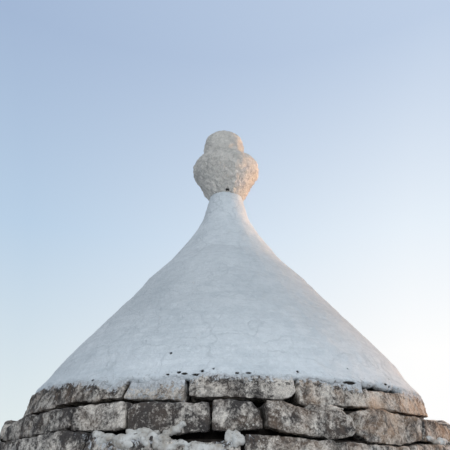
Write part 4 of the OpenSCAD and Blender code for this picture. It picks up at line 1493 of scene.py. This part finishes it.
def make_floor(props):
    low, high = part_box("floor")
    stone = stone_for("floor_flags", props)
    clear_selection()
    bpy.ops.mesh.primitive_circle_add(vertices=96, radius=ROOM_R - 0.004, fill_type="NGON", location=(0, 0, 0))
    flags = bpy.context.object
    rnd = random.Random(14)
    bpy.ops.object.mode_set(mode="EDIT")
    for y in FLAG_ROWS[1:-1]:
        bpy.ops.mesh.select_all(action="SELECT")
        bpy.ops.mesh.bisect(plane_co=(0, y, 0), plane_no=(rnd.uniform(-0.03, 0.03), 1, 0))
    for before, after in zip(FLAG_ROWS, FLAG_ROWS[1:]):
        middle = (before + after) / 2
        x = -ROOM_R + rnd.uniform(0.15, 0.5)
        while x < ROOM_R - 0.12:
            shape = bmesh.from_edit_mesh(flags.data)
            bpy.ops.mesh.select_all(action="DESELECT")
            bpy.ops.mesh.select_mode(type="FACE")
            for f in shape.faces:
                f.select_set(abs(f.calc_center_median().y - middle) < 0.14)
            bmesh.update_edit_mesh(flags.data)
            bpy.ops.mesh.bisect(plane_co=(x, 0, 0), plane_no=(1, rnd.uniform(-0.12, 0.12), 0))
            x += rnd.uniform(0.34, 0.66)
    bpy.ops.mesh.select_all(action="SELECT")
    bpy.ops.mesh.inset(thickness=0.0045, use_individual=True)
    bpy.ops.mesh.select_all(action="INVERT")
    bpy.ops.mesh.delete(type="FACE")
    bpy.ops.mesh.select_all(action="SELECT")
    bpy.ops.transform.translate(value=(0, 0, high.z))
    bpy.ops.mesh.extrude_region_move(TRANSFORM_OT_translate={"value": (0, 0, -0.05)})
    leave_with_normals_out()
    pick(flags)
    apply_modifier(flags, "BEVEL", "trodden", width=0.006, segments=2, limit_method="ANGLE",
                   angle_limit=math.radians(40))
    co = read_points(flags.data)
    looks = np.tile([0.68, 0.2, 0.25, 0.0], (len(co), 1))
    looks[:, 0] += 0.06 * np.sin((np.floor(co[:, 0] * 1.7) + np.floor(co[:, 1] * 2.6)) * 2.1)
    set_looks(flags, looks)
    side = DOOR_HALF - 0.004
    entry = dress([((1.262, -side, 0.05), (1.452, side, high.z)),
                   ((1.460, -side, 0.05), (JAMB_BACK - 0.004, side, high.z))], 15, 0, 0, 0.006, (0.7, 0.2, 0.25))
    clear_selection()
    bpy.ops.mesh.primitive_cylinder_add(vertices=96, radius=ROOM_R - 0.006, depth=BED_TOP,
                                        location=(0, 0, BED_TOP / 2))
    bed = bpy.context.object
    bpy.ops.object.transform_apply()
    pick(bed)
    apply_modifier(bed, "BEVEL", "rammed", width=0.006, segments=2, limit_method="ANGLE")
    side = DOOR_HALF - 0.003
    mouth = dress([((1.20, -side, 0.001), (JAMB_BACK - 0.001, side, BED_TOP))], 16, 0, 0, 0.004, (0.5, 0.2, 0.3))
    # The bed and the mouth take the near-black packing: painted shade.
    for obj, material in ((flags, stone), (entry, stone), (bed, core_material()), (mouth, core_material())):
        obj.data.materials.append(material)
    finish_piece(join([flags, entry, bed, mouth]), "floor_flags", ["floor"], 40)


DOME_RINGS = 13
DOME_RING_H = 0.125
DOME_EYE_R = 0.20
DOME_BOW = 1.25


def dome_radius(ring):
    return DOME_EYE_R + (ROOM_R - DOME_EYE_R) * (1 - ((ring + 1) / DOME_RINGS) ** DOME_BOW)


def make_dome(props):
    stone = stone_for("dome_limestone", props)
    for p, name in enumerate(("dome_lower", "dome_middle", "dome_upper")):
        rows = []
        for i in range(p * DOME_RINGS // 3, (p + 1) * DOME_RINGS // 3):
            r = dome_radius(i)
            z = UPPER_LOW.z + i * DOME_RING_H
            rnd = random.Random(200 + i)
            width = min(0.42, 2 * math.pi * r / 6.5)
            turn = rnd.uniform(0, 40)
            ends = shared_ends(rnd, turn, turn + 360, r, (width * 0.75, width * 1.25))
            blocks = run_of_blocks(rnd, ends, level(z, i * 1.3, 0.002), level(z + DOME_RING_H, i * 1.3 + 1, 0.002),
                                   r, 0.006, 0, 0.0, 0.004, 0.006)
            row, _ = lay_course(blocks, Ring(0, r, 1, r), 0.262, 300 + i, 0, 0, ROUGH_BUDGET, stone, -1)
            rows.append(row)
        finish_piece(join(rows), name + "_stones", [name])
    low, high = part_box("dome_cap")
    clear_selection()
    bpy.ops.mesh.primitive_cylinder_add(vertices=11, radius=high.x - 0.004, depth=high.z - low.z,
                                        location=(0, 0, (low.z + high.z) / 2))
    cap = bpy.context.object
    bpy.ops.object.transform_apply()
    apply_modifier(cap, "BEVEL", "hewn", width=0.014, segments=2)
    apply_modifier(cap, "REMESH", "pecked", mode="VOXEL", voxel_size=0.02)
    roughen(cap, 0.012, "dressed_broad", "CLOUDS", 0.24)
    set_looks(cap, np.tile([0.6, 0.2, 0.3, 0.0], len(cap.data.vertices)))
    cap.data.materials.append(stone)
    finish_piece(cap, "dome_cap_slab", ["dome_cap"])


# Lime mortar

# Daubs of lime mortar under the eaves: angle, height, half length, half height, how far out
FRONT_DAUBS = [
    (-22.6, 1.898, 0.042, 0.026, 2.000), (-20.4, 1.880, 0.048, 0.022, 2.006),
    (-18.2, 1.874, 0.050, 0.022, 2.010), (-15.6, 1.878, 0.050, 0.028, 2.008), (-13.8, 1.872, 0.060, 0.028, 2.010),
    (-12.3, 1.886, 0.026, 0.030, 2.004), (-10.4, 1.872, 0.044, 0.026, 2.008), (-7.8, 1.848, 0.050, 0.020, 2.008),
    (-4.8, 1.838, 0.066, 0.018, 2.010), (-2.0, 1.838, 0.050, 0.018, 2.006), (0.2, 1.886, 0.026, 0.044, 2.000),
    (1.5, 1.876, 0.024, 0.046, 2.006), (2.4, 1.862, 0.026, 0.030, 2.008), (-21.0, 1.872, 0.07, 0.035, 2.006),
    (-17.0, 1.850, 0.09, 0.035, 2.010), (-11.0, 1.840, 0.11, 0.034, 2.010), (-4.0, 1.812, 0.12, 0.032, 2.010),
    (-16.2, 1.914, 0.050, 0.022, 1.968), (-14.2, 1.920, 0.052, 0.024, 1.970), (-12.4, 1.904, 0.036, 0.018, 1.968),
    (-8.6, 1.922, 0.040, 0.030, 1.970), (-7.6, 1.946, 0.034, 0.026, 1.968), (-9.8, 1.906, 0.036, 0.018, 1.968)]


def make_mortar():
    rnd = random.Random(77)
    daubs = list(FRONT_DAUBS)
    for cluster in (-101, -128, -152, 148, 122, 61, 47, -64):
        for _ in range(5):
            daubs.append((cluster + rnd.uniform(-4, 4), 1.895 + rnd.uniform(-0.02, 0.015), rnd.uniform(0.03, 0.06),
                          rnd.uniform(0.016, 0.028), 1.985 + rnd.uniform(0, 0.012)))
    # The daubs are laid out on an unrolled ring of this radius
    radius = 2.0
    obj = empty_mesh()
    for degrees, z, half_l, half_h, out in daubs:
        bpy.ops.mesh.primitive_ico_sphere_add(
            subdivisions=2, radius=1, location=(math.radians(degrees) * radius, radius - out + 0.013, z),
            scale=(half_l * 1.1, 0.030, half_h), rotation=(0, rnd.uniform(-0.25, 0.25), 0))
        bpy.ops.mesh.select_all(action="DESELECT")
    bpy.ops.object.mode_set(mode="OBJECT")
    pick(obj)
    apply_modifier(obj, "REMESH", "daubed", mode="VOXEL", voxel_size=0.007)
    roughen(obj, 0.030, "mortar_lumps", "CLOUDS", 0.11, 1)
    roughen(obj, 0.013, "mortar_tears", "CLOUDS", 0.055, 3, noise_type="HARD_NOISE")
    roughen(obj, 0.009, "mortar_crumbs", "CLOUDS", 0.016, 2)
    apply_modifier(obj, "DECIMATE", "thinned", ratio=0.55)
    co = read_points(obj.data)
    angle = co[:, 0] / radius
    r = radius - co[:, 1]
    write_points(obj.data, np.stack([r * np.sin(angle), -r * np.cos(angle), co[:, 2]], axis=1))
    obj.data.materials.append(mortar_material())
    finish_piece(obj, "lime_mortar_daubs", [], 60)


# Stage

# The sky's colours at the horizon, halfway and high up, on its blue and on its pale side
BLUE_SKY = (0.765, 0.84, 0.846, 1), (0.49, 0.63, 0.79, 1), (0.37, 0.48, 0.665, 1)
PALE_SKY = (1.0, 1.0, 0.995, 1), (0.80, 0.875, 0.95, 1), (0.52, 0.625, 0.79, 1)


def make_stage(props):
    clear_selection()
    bpy.ops.mesh.primitive_plane_add(size=600, location=(0, 0, 0))
    floor = bpy.context.object
    floor.name = "studio_floor"
    material, n, shader, place = base_material("studio_floor")
    n.feed(shader, {"Base Color": rgba(props.floor_colour), "Roughness": 0.9})
    # Far from the house the floor passes into the sky, for the camera alone
    reach = n.add("ShaderNodeVectorMath", {0: place}, operation="LENGTH").outputs["Value"]
    way = n.split(n.vector("NORMALIZE", place))
    haze = n.mix(n.spread(way[0], -0.38, 0.36), BLUE_SKY[0], PALE_SKY[0])
    glow = n.add("ShaderNodeEmission", {"Color": haze})
    fade = n.math("MULTIPLY", n.spread(reach, 5, 24), n.add("ShaderNodeLightPath").outputs["Is Camera Ray"])
    blend = n.add("ShaderNodeMixShader", {0: fade, 1: shader.outputs[0], 2: glow.outputs[0]})
    out = next(node for node in material.node_tree.nodes if node.bl_idname == "ShaderNodeOutputMaterial")
    n.feed(out, {0: blend.outputs[0]})
    floor.data.materials.append(material)

    world = bpy.data.worlds.new("plain_sky")
    bpy.context.scene.world = world
    world.use_nodes = True
    world.node_tree.nodes.clear()
    n = Nodes(world.node_tree)
    x, _, up = n.split(n.add("ShaderNodeTexCoord").outputs["Generated"])
    blue = n.mix(n.spread(up, 0.05, 0.425), BLUE_SKY[0], BLUE_SKY[1])
    blue = n.mix(n.spread(up, 0.425, 0.72), blue, BLUE_SKY[2])
    pale = n.mix(n.spread(up, 0.20, 0.425), PALE_SKY[0], PALE_SKY[1])
    pale = n.mix(n.spread(up, 0.425, 0.72), pale, PALE_SKY[2])
    seen = n.mix(n.spread(x, -0.38, 0.36), blue, pale)
    shown = n.add("ShaderNodeBackground", {"Color": seen, "Strength": 1.0})
    lit = n.add("ShaderNodeBackground", {"Color": (0.80, 0.88, 1.0, 1), "Strength": 0.56})
    path = n.add("ShaderNodeLightPath").outputs
    bare = n.math("MAXIMUM", path["Is Camera Ray"], path["Is Glossy Ray"])
    bare = n.math("MAXIMUM", bare, path["Is Transmission Ray"])
    choose = n.add("ShaderNodeMixShader", {0: bare, 1: lit.outputs[0], 2: shown.outputs[0]})
    n.add("ShaderNodeOutputWorld", {0: choose.outputs[0]})

    # Name, place, aim, size, spread in degrees, watts and colour of each lamp
    for name, place, aim, size, spread, energy, colour in (
            ("low_sun_head", (8.08, 2.94, 5.2), (0, 0, 4.85), 1.2, 24, 14, (1.0, 0.60, 0.36)),
            ("low_sun_side", (8.2, 3.6, 4.6), (0, 0, 3.2), 2.0, 180, 640, (1.0, 0.57, 0.31)),
            ("front_fill", (1.0, -9.0, 6.2), (0, 0, 2.6), 6.0, 180, 435, (0.94, 0.97, 1.0)),
            ("back_fill", (-4.5, 8.5, 7.5), (0, 0, 2.6), 6.0, 180, 380, (0.95, 0.97, 1.0))):
        lamp = bpy.data.lights.new(name, "AREA")
        lamp.size = size
        lamp.spread = math.radians(spread)
        lamp.energy = energy
        lamp.color = colour
        holder = bpy.data.objects.new(name, lamp)
        holder.location = place
        holder.rotation_euler = (Vector(aim) - Vector(place)).to_track_quat("-Z", "Y").to_euler()
        bpy.context.collection.objects.link(holder)

    eye = bpy.data.cameras.new("eye")
    eye.lens = props.lens
    eye.sensor_width = 36
    holder = bpy.data.objects.new("eye", eye)
    holder.location = (-0.01, -4.93, 1.717)
    holder.rotation_euler = (math.radians(90) + props.tilt, 0, 0)
    bpy.context.collection.objects.link(holder)
    bpy.context.scene.camera = holder
    bpy.context.scene.view_settings.view_transform = "Standard"


class TRULLO_OT_cone(bpy.types.Operator):
    """Build the limewashed cone, its hem over the eaves stones and its neck"""
    bl_idname = "trullo.cone"
    bl_label = "Limewashed cone"

    def execute(self, context):
        make_cone(context.scene.trullo_limewash)
        return {"FINISHED"}


class TRULLO_OT_pinnacle(bpy.types.Operator):
    """Build the bowl and the cap stone of the pinnacle"""
    bl_idname = "trullo.pinnacle"
    bl_label = "Pinnacle"

    def execute(self, context):
        wash = context.scene.trullo_limewash
        make_bowl((wash.pinnacle_shaded_wash, wash.pinnacle_worn))
        make_ball((wash.pinnacle_shaded_wash, wash.pinnacle_worn))
        return {"FINISHED"}


class TRULLO_OT_eaves(bpy.types.Operator):
    """Lay the two courses of large eaves stones"""
    bl_idname = "trullo.eaves"
    bl_label = "Eaves courses"

    def execute(self, context):
        props = context.scene.trullo_stones
        make_upper_course(props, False)
        make_lower_course(props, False)
        return {"FINISHED"}


class TRULLO_OT_walls(bpy.types.Operator):
    """Lay the outer and inner stones of the drum wall"""
    bl_idname = "trullo.walls"
    bl_label = "Drum wall"

    def execute(self, context):
        make_walls(context.scene.trullo_stones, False)
        return {"FINISHED"}


class TRULLO_OT_doorway(bpy.types.Operator):
    """Build the jamb stones, the lintels and the threshold"""
    bl_idname = "trullo.doorway"
    bl_label = "Doorway stones"

    def execute(self, context):
        make_doorway_stones(context.scene.trullo_stones)
        return {"FINISHED"}


class TRULLO_OT_door(bpy.types.Operator):
    """Build the door frame, the plank leaf and its strap hinges"""
    bl_idname = "trullo.door"
    bl_label = "Timber door"

    def execute(self, context):
        make_door(context.scene.trullo_door)
        return {"FINISHED"}


class TRULLO_OT_floor(bpy.types.Operator):
    """Lay the floor flags of the room and of the doorway"""
    bl_idname = "trullo.floor"
    bl_label = "Floor flags"

    def execute(self, context):
        make_floor(context.scene.trullo_stones)
        return {"FINISHED"}


class TRULLO_OT_dome(bpy.types.Operator):
    """Lay the corbelled rings of the dome and its cap slab"""
    bl_idname = "trullo.dome"
    bl_label = "Corbelled dome"

    def execute(self, context):
        make_dome(context.scene.trullo_stones)
        return {"FINISHED"}


class TRULLO_OT_mortar(bpy.types.Operator):
    """Daub lime mortar into the joints under the eaves"""
    bl_idname = "trullo.mortar"
    bl_label = "Lime mortar"

    def execute(self, context):
        make_mortar()
        return {"FINISHED"}


class TRULLO_OT_stage(bpy.types.Operator):
    """Set out the plain floor, the lamps and the camera"""
    bl_idname = "trullo.stage"
    bl_label = "Stage"

    def execute(self, context):
        make_stage(context.scene.trullo_stage)
        return {"FINISHED"}


class TRULLO_PT_panel(bpy.types.Panel):
    bl_idname = "TRULLO_PT_panel"
    bl_label = "Trullo"
    bl_space_type = "VIEW_3D"
    bl_region_type = "UI"
    bl_category = "Trullo"

    def draw(self, context):
        layout = self.layout
        for operator in OPERATORS:
            layout.operator(operator.bl_idname)
        for group in GROUPS:
            settings = getattr(context.scene, group[0])
            box = layout.box()
            for key in settings.bl_rna.properties.keys():
                if key not in ("rna_type", "name"):
                    box.prop(settings, key)


GROUPS = (("trullo_stones", TrulloStones), ("trullo_limewash", TrulloLimewash),
          ("trullo_door", TrulloDoor), ("trullo_stage", TrulloStage))
OPERATORS = (TRULLO_OT_cone, TRULLO_OT_pinnacle, TRULLO_OT_eaves, TRULLO_OT_mortar, TRULLO_OT_walls,
             TRULLO_OT_doorway, TRULLO_OT_door, TRULLO_OT_floor, TRULLO_OT_dome, TRULLO_OT_stage)


def register():
    for name, group in GROUPS:
        bpy.utils.register_class(group)
        setattr(bpy.types.Scene, name, bpy.props.PointerProperty(type=group))
    for operator in OPERATORS:
        bpy.utils.register_class(operator)
    bpy.utils.register_class(TRULLO_PT_panel)


def unregister():
    bpy.utils.unregister_class(TRULLO_PT_panel)
    for operator in reversed(OPERATORS):
        bpy.utils.unregister_class(operator)
    for name, group in reversed(GROUPS):
        delattr(bpy.types.Scene, name)
        bpy.utils.unregister_class(group)


def main():
    register()
    bpy.ops.trullo.cone()
    bpy.ops.trullo.pinnacle()
    bpy.ops.trullo.eaves()
    bpy.ops.trullo.mortar()
    bpy.ops.trullo.walls()
    bpy.ops.trullo.doorway()
    bpy.ops.trullo.door()
    bpy.ops.trullo.floor()
    bpy.ops.trullo.dome()
    bpy.ops.trullo.stage()


if __name__ == "__main__":
    main()
